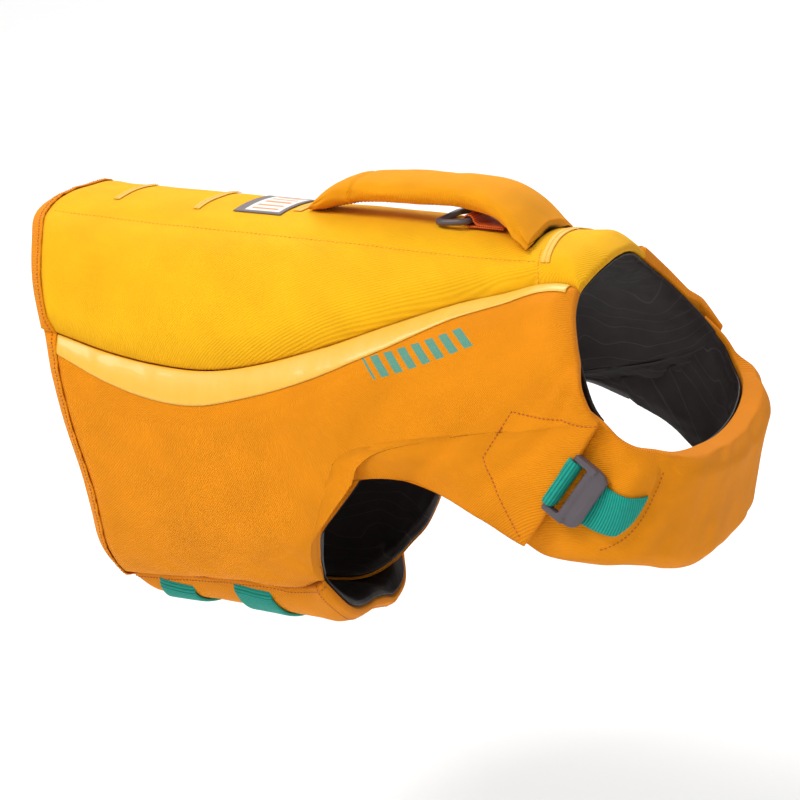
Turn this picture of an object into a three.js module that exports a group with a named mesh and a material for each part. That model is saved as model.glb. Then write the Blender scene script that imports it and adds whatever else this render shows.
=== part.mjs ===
import * as THREE from "three";

// Dog life jacket, worn shape with no dog in it. Millimetres, +X to the neck, +Z up,
// the dog's right side at -Y. The origin lies on the inner face at the middle of the back.

// Cloth and foam sizes
const seamGap = 0.3;
const layGap = 0.5;
const edgeThick = 3.2;
const edgeRoll = 15;
const backThick = 10;
const sideThick = 9;
const bellyThick = 7;
const collarThick = 10;
const liningThick = 1.0;
const liningDepth = 0.9;
const tapeThick = 1.0;
const filmThick = 0.6;
const webbingWidth = 25;
const webbingThick = 1.6;

// Where the collar is sewn in under the two side panels
const tuckLength = 15;
const tuckRamp = 16;
const mouthLift = edgeThick + webbingThick + 3 * seamGap;

// Lengths on the cloth: the back along the spine, one degree round, one whole share of u,
// the collar along and across, the belly wrap from rear to front
const backLength = 306;
const perDegree = 1.45;
const perShare = 336;
const collarLong = 290;
const collarTall = 74;
const bellyLong = 134;

// Rings of the inner form: top and low point, half width, height share of the widest
// point, and how square the upper and lower halves are
const rearTopX = -166;
const rings = [
  {
    u: 0, topX: rearTopX, topZ: 0, lowX: -114, lowZ: -190,
    half: 66, widest: 0.38, squareTop: 2.5, squareLow: 2.6,
  },
  {
    u: 0.25, topX: -92, topZ: 0, lowX: -42, lowZ: -188,
    half: 73, widest: 0.44, squareTop: 2.45, squareLow: 2.6,
  },
  {
    u: 0.5, topX: -14, topZ: 0, lowX: 34, lowZ: -186,
    half: 78, widest: 0.49, squareTop: 2.35, squareLow: 2.6,
  },
  {
    u: 0.75, topX: 66, topZ: 0, lowX: 126, lowZ: -178,
    half: 80, widest: 0.54, squareTop: 2.1, squareLow: 2.4,
  },
  {
    u: 0.88, topX: 106, topZ: 0, lowX: 180, lowZ: -146,
    half: 78, widest: 0.56, squareTop: 1.95, squareLow: 2.3,
  },
  {
    u: 1, topX: 140, topZ: 2, lowX: 186, lowZ: -80,
    half: 74, widest: 0.6, squareTop: 1.85, squareLow: 2.2,
  },
];

// Cut lines on the form: u from hem to neck, a in degrees from the spine down the flank
const hem = [
  { a: 0, u: -0.008 }, { a: 26, u: -0.01 }, { a: 40, u: 0.007 }, { a: 60, u: 0.022 }, { a: 78, u: 0.034 },
  { a: 94, u: 0.028 }, { a: 108, u: 0.03 }, { a: 120, u: 0.018 }, { a: 131, u: 0 }, { a: 180, u: 0 },
];
const seam = [
  { u: 0.034, a: 75.5 }, { u: 0.135, a: 77.5 }, { u: 0.242, a: 77.5 }, { u: 0.35, a: 75 },
  { u: 0.455, a: 68.5 }, { u: 0.555, a: 59.5 }, { u: 0.657, a: 48 }, { u: 0.75, a: 38.5 },
  { u: 0.82, a: 33 }, { u: 0.885, a: 28.3 },
];
const stripEdge = [
  { u: 0.03, a: 81 }, { u: 0.145, a: 85.5 }, { u: 0.23, a: 86.5 }, { u: 0.325, a: 85 },
  { u: 0.413, a: 80 }, { u: 0.52, a: 71.5 }, { u: 0.647, a: 57 }, { u: 0.75, a: 45 },
  { u: 0.823, a: 39 }, { u: 0.89, a: 34.5 }, { u: 0.945, a: 36.5 },
];
const bellySeam = [
  { u: 0, a: 153 }, { u: 0.12, a: 147.4 }, { u: 0.273, a: 140.4 }, { u: 0.4, a: 136 }, { u: 0.448, a: 129.4 },
];
const leftUnderlap = [
  { u: 0, a: 168 }, { u: 0.12, a: 171 }, { u: 0.25, a: 174 }, { u: 0.32, a: 175 }, { u: 0.36, a: 172 },
  { u: 0.395, a: 160 }, { u: 0.42, a: 147 }, { u: 0.438, a: 140 }, { u: 0.456, a: 129.4 },
];

// Cut lines that differ from side to side: worn, the left shoulder sits higher and further out
const rightCuts = {
  neck: [
    { a: 0, u: 0.985 }, { a: 14, u: 0.977 }, { a: 25, u: 0.96 }, { a: 32, u: 0.946 }, { a: 39, u: 0.94 },
    { a: 52, u: 0.938 }, { a: 66, u: 0.938 }, { a: 78, u: 0.941 }, { a: 84, u: 0.948 },
  ],
  seam: [...seam, { u: 0.925, a: 29.6 }, { u: 0.945, a: 32.6 }],
  mouth: [
    { u: 0.948, a: 84 }, { u: 0.918, a: 84.6 }, { u: 0.885, a: 87 },
    { u: 0.853, a: 91.5 }, { u: 0.823, a: 97 }, { u: 0.787, a: 104.5 },
  ],
  lowEdge: bellySeam,
  armhole: [
    { u: 0.456, a: 129.4 }, { u: 0.478, a: 115 }, { u: 0.492, a: 109.5 }, { u: 0.508, a: 103.4 },
    { u: 0.528, a: 98.4 }, { u: 0.56, a: 94 }, { u: 0.588, a: 91.4 }, { u: 0.62, a: 90 },
    { u: 0.69, a: 90.5 }, { u: 0.748, a: 95.5 }, { u: 0.787, a: 104.5 },
  ],
  collarTop: [
    { u: 0.928, a: 75 }, { u: 0.948, a: 84.4 }, { u: 0.957, a: 92 }, { u: 0.971, a: 104.4 },
    { u: 0.986, a: 119.4 }, { u: 0.994, a: 138.4 }, { u: 1, a: 160 }, { u: 1, a: 180 },
  ],
  collarLow: [
    { u: 0.765, a: 96.5 }, { u: 0.784, a: 105.4 }, { u: 0.797, a: 110.4 }, { u: 0.81, a: 112.9 },
    { u: 0.828, a: 116.4 }, { u: 0.845, a: 119.9 }, { u: 0.863, a: 124.4 }, { u: 0.878, a: 131.4 },
    { u: 0.888, a: 143.9 }, { u: 0.895, a: 158 }, { u: 0.9, a: 169 }, { u: 0.902, a: 180 },
  ],
  webbing: {
    topStart: { u: 0.868, a: 86.2 },
    lowStart: { u: 0.818, a: 94.4 },
    topEnd: { u: 0.943, a: 117.4 },
    lowEnd: { u: 0.89, a: 112.9 },
  },
  lock: { u: 0.878, a: 99.5, aheadU: 0.902, aheadA: 108 },
};
const leftCuts = {
  neck: [
    { a: 0, u: 0.985 }, { a: 14, u: 0.98 }, { a: 25, u: 0.968 }, { a: 32, u: 0.96 }, { a: 39, u: 0.956 },
    { a: 52, u: 0.957 }, { a: 66, u: 0.963 }, { a: 78, u: 0.97 }, { a: 84, u: 0.973 },
  ],
  seam: [...seam, { u: 0.935, a: 29.2 }, { u: 0.96, a: 32 }],
  mouth: [
    { u: 0.973, a: 84 }, { u: 0.935, a: 84.6 }, { u: 0.9, a: 85.6 },
    { u: 0.865, a: 87 }, { u: 0.827, a: 88.6 }, { u: 0.787, a: 90 },
  ],
  lowEdge: leftUnderlap,
  armhole: [
    { u: 0.456, a: 129.4 }, { u: 0.478, a: 115 }, { u: 0.492, a: 109.5 }, { u: 0.508, a: 103.4 },
    { u: 0.528, a: 98.4 }, { u: 0.56, a: 93.4 }, { u: 0.588, a: 89.6 }, { u: 0.62, a: 86.6 },
    { u: 0.69, a: 84 }, { u: 0.74, a: 85 }, { u: 0.787, a: 90 },
  ],
  collarTop: [
    { u: 0.963, a: 74 }, { u: 0.973, a: 84 }, { u: 0.978, a: 92 }, { u: 0.979, a: 102 },
    { u: 0.984, a: 112 }, { u: 0.992, a: 124 }, { u: 0.998, a: 138.4 }, { u: 1, a: 160 }, { u: 1, a: 180 },
  ],
  collarLow: [
    { u: 0.775, a: 79.5 }, { u: 0.788, a: 89.7 }, { u: 0.806, a: 92.8 }, { u: 0.82, a: 95.8 },
    { u: 0.831, a: 99.6 }, { u: 0.844, a: 106.4 }, { u: 0.856, a: 113 }, { u: 0.872, a: 125 },
    { u: 0.885, a: 138 }, { u: 0.895, a: 155 }, { u: 0.9, a: 169 }, { u: 0.902, a: 180 },
  ],
  webbing: {
    topStart: { u: 0.932, a: 82 },
    lowStart: { u: 0.858, a: 84.3 },
    topEnd: { u: 0.957, a: 117 },
    lowEnd: { u: 0.883, a: 112 },
  },
  lock: { u: 0.905, a: 97.5, aheadU: 0.911, aheadA: 107 },
};
const bellyFront = [
  { u: 0.448, a: 129.4 }, { u: 0.452, a: 137 }, { u: 0.44, a: 152 }, { u: 0.415, a: 168 },
  { u: 0.412, a: 186 }, { u: 0.425, a: 202 }, { u: 0.42, a: 236 },
];
const bellyEnd = 236;
const bellyStep = { from: 176, to: 189 };
const bellyRear = { seam: 0.003, end: 0.012 };

// The left panel thins to a flat flap where it lies inside the belly wrap
const flap = { from: 108, over: 14, frontU: 0.5, fade: 0.04 };

// Deep folds that run up from each armhole
const folds = [
  { u0: 0.568, a0: 91, u1: 0.632, a1: 75, depth: 1.6, wide: 6 },
  { u0: 0.638, a0: 89, u1: 0.668, a1: 84, depth: 1.0, wide: 4 },
  { u0: 0.66, a0: 89, u1: 0.745, a1: 77, depth: 1.6, wide: 6 },
];

// Handle over the back: stations along its length
const handleStations = [
  { x: -26, z: 11.4, half: 8, tall: 1.0, drape: 1 },
  { x: -19, z: 15.2, half: 12, tall: 4.0, drape: 0.6 },
  { x: -9, z: 20.2, half: 15, tall: 5.8, drape: 0 },
  { x: 3, z: 23.2, half: 17, tall: 6.6, drape: 0 },
  { x: 20, z: 24.6, half: 18, tall: 7.0, drape: 0 },
  { x: 41, z: 24.8, half: 18, tall: 7.0, drape: 0 },
  { x: 59, z: 24.4, half: 19, tall: 7.0, drape: 0 },
  { x: 74, z: 22.2, half: 21, tall: 7.2, drape: 0.1 },
  { x: 85, z: 18.4, half: 24, tall: 6.8, drape: 0.5 },
  { x: 93, z: 15.4, half: 27, tall: 4.6, drape: 1 },
  { x: 99, z: 12.4, half: 28, tall: 2.0, drape: 1 },
];
const handleSides = 16;

// Leash ring and the folded webbing that holds it
const ring = { rearX: 46, frontX: 62, halfWide: 17, wire: 3, corner: 5, innerCorner: 1.2 };
const ringLoop = { thick: 1, endX: 80, wide: webbingWidth, running: 0.15 };

// Buckles
const lock = {
  long: 23, wide: 33, thick: 4.6, corner: 3, above: 2.3,
  rearSlotX: -5.3, rearSlot: 5, frontSlotX: 6, frontSlot: 4,
};
const bellyBuckle = { plugLong: 16, plugThick: 6, slot: 4, socketLong: 30, wide: 33, thick: 7, height: 11.6 };
const anchorTurns = { from: 101, to: 87.5 };
const bellyStraps = [
  { name: "rear", u: 0.105, start: 151.5 },
  { name: "front", u: 0.28, start: 143.5 },
];

const colours = {
  yellow: 0xfbbf23,
  orange: 0xf5a01e,
  handleOrange: 0xf8a725,
  lining: 0x231a18,
  film: 0xf0b840,
  paleTape: 0xf6c65a,
  teal: 0x1f8f80,
  grey: 0x5a5258,
  labelWhite: 0xe9e2dc,
};

const degree = Math.PI / 180;
const mix = (from, to, share) => from + (to - from) * share;
const clamp = (value) => Math.min(1, Math.max(0, value));
const ease = (value) => clamp(value) ** 2 * (3 - 2 * clamp(value));

// A smooth line through the rows of a table, with slopes taken from the neighbours
function smooth(rows, along, column, at) {
  const x = rows.map((row) => row[along]);
  const y = rows.map((row) => row[column]);
  const chord = x.slice(1).map((value, i) => (y[i + 1] - y[i]) / (value - x[i]));
  const slope = y.map((value, i) => {
    if (i === 0) return chord[0];
    if (i === y.length - 1) return chord[i - 1];
    const before = x[i] - x[i - 1];
    const after = x[i + 1] - x[i];
    return (chord[i - 1] * after + chord[i] * before) / (before + after);
  });
  const last = x.length - 1;
  if (at <= x[0]) return y[0] + slope[0] * (at - x[0]);
  if (at >= x[last]) return y[last] + slope[last] * (at - x[last]);
  const i = x.findIndex((value, k) => k < last && at < x[k + 1]);
  const span = x[i + 1] - x[i];
  const t = (at - x[i]) / span;
  const start = (2 * t ** 3 - 3 * t ** 2 + 1) * y[i] + (t ** 3 - 2 * t ** 2 + t) * span * slope[i];
  const end = (3 * t ** 2 - 2 * t ** 3) * y[i + 1] + (t ** 3 - t ** 2) * span * slope[i + 1];
  return start + end;
}

// A cut line walked by its length on the cloth, from 0 to 1
function cutLine(rows) {
  let length = 0;
  const walked = rows.map((row, i) => {
    if (i > 0) {
      const before = rows[i - 1];
      length += Math.hypot((row.u - before.u) * perShare, (row.a - before.a) * perDegree);
    }
    return { ...row, length };
  });
  return (share) => ({
    u: smooth(walked, "length", "u", share * length),
    a: smooth(walked, "length", "a", share * length),
  });
}

function joined(first, second, where) {
  return (share) => (share < where ? first(share / where) : second((share - where) / (1 - where)));
}

// A point of the inner form, and the way out of it
function formPoint(u, a) {
  const value = (column) => smooth(rings, "u", column, u);
  const sine = Math.sin(a * degree);
  const cosine = Math.cos(a * degree);
  const power = 2 / (cosine > 0 ? value("squareTop") : value("squareLow"));
  const widest = value("widest");
  const upright = Math.abs(cosine) ** power;
  const share = cosine > 0 ? widest * (1 - upright) : widest + (1 - widest) * upright;
  return new THREE.Vector3(
    mix(value("topX"), value("lowX"), share),
    -value("half") * Math.sign(sine) * Math.abs(sine) ** power,
    mix(value("topZ"), value("lowZ"), share),
  );
}

function wayOut(u, a) {
  const along = formPoint(u + 0.002, a).sub(formPoint(u - 0.002, a));
  const round = formPoint(u, a + 0.4).sub(formPoint(u, a - 0.4));
  return round.cross(along).normalize();
}

const skin = (u, a, out) => formPoint(u, a).addScaledVector(wayOut(u, a), out);

// A piece's place on the form, filled in between its four cut lines
function coons(top, bottom, rear, front) {
  const corners = [top(0), top(1), bottom(0), bottom(1)];
  const blend = (key, s, t) => {
    const across = mix(top(s)[key], bottom(s)[key], t);
    const lengthways = mix(rear(t)[key], front(t)[key], s);
    const topMix = mix(corners[0][key], corners[1][key], s);
    const lowMix = mix(corners[2][key], corners[3][key], s);
    return across + lengthways - mix(topMix, lowMix, t);
  };
  return (s, t) => ({ u: blend("u", s, t), a: blend("a", s, t) });
}

const seamShift = 0.13;
const seamHem = seam[0].a;
const seamNeck = (cuts) => cuts.seam[cuts.seam.length - 1].a;
const seamLine = (cuts, shift) => (s) => {
  const u = mix(cuts.seam[0].u, cuts.seam[cuts.seam.length - 1].u, s);
  return { u, a: smooth(cuts.seam, "u", "a", u) + shift };
};
const spineLine = (s) => ({ u: mix(hem[0].u, rightCuts.neck[0].u, s), a: 0 });
const endBetween = (rows, from, to) => (t) => {
  const a = mix(from, to, t);
  return { u: smooth(rows, "a", "u", a), a };
};
const straight = (from, to) => (t) => ({ u: mix(from.u, to.u, t), a: mix(from.a, to.a, t) });

const backHalf = (cuts) => coons(
  spineLine,
  seamLine(cuts, -seamShift),
  endBetween(hem, 0, seamHem - seamShift),
  endBetween(cuts.neck, 0, seamNeck(cuts) - seamShift),
);
const backRight = backHalf(rightCuts);
const backLeft = backHalf(leftCuts);
const backPlace = (s, v) => {
  const place = v < 0 ? backLeft(s, -v) : backRight(s, v);
  return { u: place.u, a: place.a * Math.sign(v) };
};

const neckShare = 0.52;
const bellyShare = 0.45;
const sidePlace = (cuts) => coons(
  seamLine(cuts, seamShift),
  joined(cutLine(cuts.lowEdge), cutLine(cuts.armhole), bellyShare),
  endBetween(hem, seamHem + seamShift, cuts.lowEdge[0].a),
  joined(endBetween(cuts.neck, seamNeck(cuts) + seamShift, cuts.mouth[0].a), cutLine(cuts.mouth), neckShare),
);
const rightPlace = sidePlace(rightCuts);
const leftUnder = sidePlace(leftCuts);

// Length on the cloth from one place to another, as its two shares
const between = (from, to) => ({ u: (to.u - from.u) * perShare, a: (to.a - from.a) * perDegree });

// Height of a side panel over the collar end that is tucked under its front edge
const tuckRoom = 3;
const tuckStart = { u: 0.6, fade: 0.1 };
function overCollar(mouth, u, a) {
  const along = between(mouth[0], mouth[mouth.length - 1]);
  const away = between(mouth[0], { u, a });
  const behind = -(away.u * along.a - away.a * along.u) / Math.hypot(along.u, along.a);
  const overTuck = 1 - ease((behind - tuckLength - tuckRoom) / tuckRamp);
  return mouthLift * overTuck * ease((u - tuckStart.u) / tuckStart.fade);
}

// Depth of the folds at a place: each is a trough that fades in at its start, out past its end
const foldFadeIn = 0.2;
const foldFadeOut = { past: 0.25, over: 0.7 };
function foldDepth(u, a) {
  let deepest = 0;
  for (const fold of folds) {
    const start = { u: fold.u0, a: fold.a0 };
    const run = between(start, { u: fold.u1, a: fold.a1 });
    const from = between(start, { u, a });
    const length = Math.hypot(run.u, run.a);
    const share = (from.u * run.u + from.a * run.a) / length ** 2;
    const off = Math.abs(from.u * run.a - from.a * run.u) / length;
    const fadeIn = ease((share + foldFadeIn) / foldFadeIn);
    const fadeOut = ease((1 + foldFadeOut.past - share) / foldFadeOut.over);
    deepest = Math.max(deepest, fold.depth * fadeIn * fadeOut * Math.exp(-2 * (off / fold.wide) ** 2));
  }
  return deepest;
}

// Distance of a place from the nearest of the edges that the piece is rolled at
function edgeDistance(long, tall, s, t, edges) {
  const ways = [];
  if (edges.includes("rear")) ways.push(s * long);
  if (edges.includes("front")) ways.push((1 - s) * long);
  if (edges.includes("top")) ways.push(t * tall);
  if (edges.includes("bottom")) ways.push((1 - t) * tall);
  return Math.min(...ways);
}

const rollShare = (distance) => Math.sin(clamp(distance / edgeRoll) * 90 * degree);
const pillow = (thick, distance) => mix(edgeThick, thick, rollShare(distance));

const back = {
  place: backPlace,
  span: [-1, 1],
  lift: () => 0,
  thick(s, v) {
    const tall = Math.abs(backPlace(s, 1).a) * perDegree;
    return pillow(backThick, edgeDistance(backLength, tall, s, Math.abs(v), ["rear", "front", "bottom"]));
  },
};

// A side panel loses most of its foam where it is sewn over the collar end
const tuckThin = { share: 0.75, over: 4 };
const leastThick = 2;
function sidePanel(place, cuts, underlap) {
  return {
    place,
    span: [0, 1],
    lift(s, t) {
      const here = place(s, t);
      return overCollar(cuts.mouth, here.u, here.a);
    },
    thick(s, t) {
      const here = place(s, t);
      const tall = (place(s, 1).a - place(s, 0).a) * perDegree;
      const edges = ["rear", "front", "top", "bottom"];
      const foam = pillow(sideThick, edgeDistance(backLength, tall, s, t, edges));
      const inFlap = ease((here.a - flap.from) / flap.over) * ease((flap.frontU - here.u) / flap.fade);
      const overTuck = ease((overCollar(cuts.mouth, here.u, here.a) - 1) / tuckThin.over);
      const puffed = edgeThick + (foam - edgeThick) * (1 - tuckThin.share * overTuck);
      const thin = mix(puffed, edgeThick, underlap ? inFlap : 0);
      return thin - Math.min(foldDepth(here.u, here.a), foam - leastThick);
    },
  };
}

const sideRight = sidePanel(rightPlace, rightCuts, false);
const sideLeft = sidePanel(leftUnder, leftCuts, true);

// Collar, from under the right panel round the chest to under the left one
function bothSides(rightRows, leftRows) {
  const right = cutLine(rightRows);
  const left = cutLine(leftRows);
  return (s) => {
    if (s <= 0.5) return right(2 * s);
    const place = left(2 - 2 * s);
    return { u: place.u, a: 360 - place.a };
  };
}

function collarPlace(firstRow) {
  const top = bothSides(rightCuts.collarTop.slice(firstRow), leftCuts.collarTop.slice(firstRow));
  const low = bothSides(rightCuts.collarLow.slice(firstRow), leftCuts.collarLow.slice(firstRow));
  return coons(top, low, straight(top(0), low(0)), straight(top(1), low(1)));
}

const collarEnd = { room: 2, ramp: 24 };
const collar = {
  place: collarPlace(0),
  span: [0, 1],
  lift: () => 0,
  thick(s, t) {
    const end = Math.min(s, 1 - s) * collarLong;
    const across = rollShare(edgeDistance(collarLong, collarTall, s, t, ["top", "bottom"]));
    const lengthways = ease((end - tuckLength - collarEnd.room) / collarEnd.ramp);
    return mix(edgeThick, collarThick, across * lengthways);
  },
};
const collarLiningPlace = collarPlace(1);

// Belly panel, from the right belly seam round under the chest to outside the left panel
const bellyLift = edgeThick + tapeThick + liningDepth + liningThick + 5 * seamGap;
const bellyTop = cutLine(bellySeam);
const bellyCorner = bellyFront[bellyFront.length - 1];
const bellySeamHem = bellySeam[0].a + 2 * seamShift;
const belly = {
  place: coons(
    (s) => ({ u: bellyTop(s).u, a: bellyTop(s).a + 2 * seamShift }),
    (s) => ({ u: mix(bellyRear.end, bellyCorner.u, s), a: bellyEnd }),
    (t) => ({ u: mix(bellyRear.seam, bellyRear.end, t), a: mix(bellySeamHem, bellyEnd, t) }),
    cutLine(bellyFront),
  ),
  span: [0, 1],
  lift(s, t) {
    const a = belly.place(s, t).a;
    return bellyLift * ease((a - bellyStep.from) / (bellyStep.to - bellyStep.from));
  },
  thick(s, t) {
    const tall = (bellyEnd - belly.place(s, 0).a) * perDegree;
    return pillow(bellyThick, edgeDistance(bellyLong, tall, s, t, ["rear", "front", "top", "bottom"]));
  },
};

// Shares of a piece at a place on the form, found by walking towards it
function sharesAt(piece, u, a) {
  const step = 0.001;
  const turns = 12;
  let s = 0.5;
  let v = (piece.span[0] + piece.span[1]) / 2 + 10 * step;
  for (let turn = 0; turn < turns; turn += 1) {
    const here = piece.place(s, v);
    const bySide = piece.place(s + step, v);
    const byRow = piece.place(s, v + step);
    const su = (bySide.u - here.u) / step;
    const sa = (bySide.a - here.a) / step;
    const vu = (byRow.u - here.u) / step;
    const va = (byRow.a - here.a) / step;
    const det = su * va - sa * vu;
    const du = u - here.u;
    const da = a - here.a;
    s = clamp(s + (du * va - da * vu) / det);
    v = Math.min(piece.span[1], Math.max(piece.span[0], v + (da * su - du * sa) / det));
  }
  return { s, v };
}

function outerHeight(piece, u, a) {
  const { s, v } = sharesAt(piece, u, a);
  return piece.lift(s, v) + piece.thick(s, v);
}

// Meshes

function material(colour, roughness = 0.85, metalness = 0) {
  return new THREE.MeshStandardMaterial({ color: colour, roughness, metalness });
}

function meshFrom(name, points, faces, colour, roughness) {
  const flat = points.flatMap((point) => [point.x, point.y, point.z]);
  let volume = 0;
  for (const [i, j, k] of faces) volume += points[i].dot(points[j].clone().cross(points[k]));
  const turned = volume < 0 ? faces.map(([i, j, k]) => [i, k, j]) : faces;
  const geometry = new THREE.BufferGeometry();
  geometry.setAttribute("position", new THREE.Float32BufferAttribute(flat, 3));
  geometry.setIndex(turned.flat());
  geometry.computeVertexNormals();
  const mesh = new THREE.Mesh(geometry, material(colour, roughness));
  mesh.name = name;
  return mesh;
}

// A closed wall between two grids of points that have the same columns and rows
function wall(name, inner, outer, colour, roughness) {
  const columns = inner.length;
  const rows = inner[0].length;
  const points = [...inner.flat(), ...outer.flat()];
  const faces = [];
  const at = (i, j, layer) => layer * columns * rows + i * rows + j;
  const quad = (p, q, r, s) => faces.push([p, q, r], [p, r, s]);
  for (let i = 0; i < columns - 1; i += 1) {
    for (let j = 0; j < rows - 1; j += 1) {
      quad(at(i, j, 1), at(i, j + 1, 1), at(i + 1, j + 1, 1), at(i + 1, j, 1));
      quad(at(i, j, 0), at(i + 1, j, 0), at(i + 1, j + 1, 0), at(i, j + 1, 0));
    }
    quad(at(i, 0, 0), at(i, 0, 1), at(i + 1, 0, 1), at(i + 1, 0, 0));
    quad(at(i, rows - 1, 0), at(i + 1, rows - 1, 0), at(i + 1, rows - 1, 1), at(i, rows - 1, 1));
  }
  for (let j = 0; j < rows - 1; j += 1) {
    quad(at(0, j, 0), at(0, j + 1, 0), at(0, j + 1, 1), at(0, j, 1));
    const last = columns - 1;
    quad(at(last, j, 0), at(last, j, 1), at(last, j + 1, 1), at(last, j + 1, 0));
  }
  return meshFrom(name, points, faces, colour, roughness);
}

const grid = (columns, rows, point) => columns.map((s) => rows.map((v) => point(s, v)));
const even = (from, to, steps) => Array.from({ length: steps + 1 }, (_, i) => mix(from, to, i / steps));

function panelMesh(name, piece, columns, rows, colour) {
  const inner = grid(columns, rows, (s, v) => {
    const { u, a } = piece.place(s, v);
    return skin(u, a * (piece.hand ?? 1), piece.lift(s, v));
  });
  const outer = grid(columns, rows, (s, v) => {
    const { u, a } = piece.place(s, v);
    return skin(u, a * (piece.hand ?? 1), piece.lift(s, v) + piece.thick(s, v));
  });
  return wall(name, inner, outer, colour);
}

// A thin layer at a depth under a piece, or laid on top of it
function layerMesh(name, place, low, high, columns, rows, colour, roughness) {
  const layer = (height) => grid(columns, rows, (s, v) => {
    const { u, a } = place(s, v);
    return skin(u, a, height(s, v, u, a));
  });
  return wall(name, layer(low), layer(high), colour, roughness);
}

// Rings of points joined into a tube, closed at both ends or into a loop
function tube(name, loops, colour, { looped = false, roughness } = {}) {
  const sides = loops[0].length;
  const points = loops.flat();
  const faces = [];
  const count = looped ? loops.length : loops.length - 1;
  for (let i = 0; i < count; i += 1) {
    for (let j = 0; j < sides; j += 1) {
      const a = i * sides + j;
      const b = i * sides + ((j + 1) % sides);
      const next = ((i + 1) % loops.length) * sides;
      const c = next + ((j + 1) % sides);
      const d = next + j;
      faces.push([a, b, c], [a, c, d]);
    }
  }
  if (!looped) {
    for (const [loop, forward] of [[0, false], [loops.length - 1, true]]) {
      const first = loop * sides;
      for (let j = 1; j < sides - 1; j += 1) {
        faces.push(forward ? [first, first + j, first + j + 1] : [first, first + j + 1, first + j]);
      }
    }
  }
  return meshFrom(name, points, faces, colour, roughness);
}

const jacket = new THREE.Group();

// Shell panels. The first columns lie under the hem tape, at its three lines of points.
const tapeColumns = [0, 0.013, 0.026];
const panelColumns = [...tapeColumns, ...even(0.06, 0.97, 24), 1];
const backRows = even(-1, 1, 18);
jacket.add(panelMesh("back_panel", back, panelColumns, backRows, colours.yellow));

// Rows of a side panel: the reflective strip's rows first, then the rest down to the edge
const stripRows = 2;
const lowerRows = 11;
const leastStrip = 0.012;
function stripShare(piece, s) {
  const halvings = 20;
  let low = 0;
  let high = 0.5;
  for (let turn = 0; turn < halvings; turn += 1) {
    const middle = (low + high) / 2;
    const here = piece.place(s, middle);
    if (here.a < smooth(stripEdge, "u", "a", here.u)) low = middle;
    else high = middle;
  }
  return low;
}
function withStripRows(piece) {
  const total = stripRows + lowerRows;
  const share = (s, row) => {
    const strip = Math.max(leastStrip, stripShare(piece, s));
    return row <= stripRows ? (strip * row) / stripRows : mix(strip, 1, (row - stripRows) / lowerRows);
  };
  return {
    rows: even(0, total, total),
    piece: {
      place: (s, row) => piece.place(s, share(s, row)),
      lift: (s, row) => piece.lift(s, share(s, row)),
      thick: (s, row) => piece.thick(s, share(s, row)),
    },
  };
}

const shellSides = [
  { side: "right", hand: 1, cuts: rightCuts, base: sideRight },
  { side: "left", hand: -1, cuts: leftCuts, base: sideLeft },
].map((entry) => ({ ...entry, ...withStripRows(entry.base) }));

// The left panel's rows run the other way, so that its facets match the hem tape's
for (const { side, hand, piece, rows } of shellSides) {
  const ordered = (list) => (hand > 0 ? list : [...list].reverse());
  jacket.add(panelMesh(`side_panel_${side}`, { ...piece, hand }, panelColumns, ordered(rows), colours.orange));
  const onPanel = (above) => (s, row) => piece.lift(s, row) + piece.thick(s, row) + above;
  const place = (s, row) => {
    const here = piece.place(s, row);
    return { u: here.u, a: here.a * hand };
  };
  const stripColumns = panelColumns.filter((s) => s > tapeColumns[2] && s < 0.99);
  jacket.add(layerMesh(`reflective_strip_${side}`, place, onPanel(seamGap), onPanel(seamGap + filmThick),
    stripColumns, ordered(even(0, stripRows, stripRows)), colours.film, 0.3));
}

// Hem tape folded over the rear edge: its stations are the rows of the three panels
function tapeStation(piece, v, hand) {
  const place = (s) => {
    const here = piece.place(s, v);
    return { u: here.u, a: here.a * hand };
  };
  const over = tapeColumns.map((s) => ({ ...place(s), out: piece.lift(s, v) + piece.thick(s, v) + layGap }));
  const depth = -(liningDepth + liningThick + 4 * seamGap);
  const under = [...over].reverse().map((point) => ({ ...point, out: depth }));
  const first = over[0];
  const inside = first.u - seamGap / perShare;
  const outside = inside - tapeThick / perShare;
  const corner = 0.4 * tapeThick;
  const innerSide = [
    ...[...over].reverse(),
    { ...first, u: inside },
    { ...first, u: inside, out: depth },
    ...[...under].reverse(),
  ];
  const outerSide = [
    ...[...over].reverse().map((point) => ({ ...point, out: point.out + tapeThick })),
    { ...first, u: outside, out: first.out + corner },
    { ...first, u: outside, out: depth - corner },
    ...[...under].reverse().map((point) => ({ ...point, out: depth - tapeThick })),
  ];
  return [...innerSide, ...outerSide.reverse()].map((point) => skin(point.u, point.a, point.out));
}
const tapeLoops = [
  ...[...shellSides[0].rows].reverse().map((row) => tapeStation(shellSides[0].piece, row, 1)),
  ...[...backRows].reverse().map((row) => tapeStation(back, row, 1)),
  ...shellSides[1].rows.map((row) => tapeStation(shellSides[1].piece, row, -1)),
];
jacket.add(tube("hem_tape", tapeLoops, colours.orange));

// Body lining, in one sheet from the right belly edge over the spine to the left edge
const liningInset = 0.004;
const spineInset = 0.003;
function liningPlace(s, v) {
  const share = mix(liningInset, 1 - liningInset, s);
  if (v < 1) return rightPlace(share, 1 - liningInset - v * (1 - 2 * liningInset));
  if (v <= 3) return backPlace(share, (2 - v) * (1 - spineInset));
  const here = leftUnder(share, liningInset + (v - 3) * (1 - 2 * liningInset));
  return { u: here.u, a: -here.a };
}
const liningRows = [...even(0, 0.99, 7), ...even(1, 3, 8), ...even(3.01, 4, 7)];
jacket.add(layerMesh("body_lining", liningPlace, () => -liningDepth - liningThick, () => -liningDepth,
  even(0, 1, 14), liningRows, colours.lining, 0.6));

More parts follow.
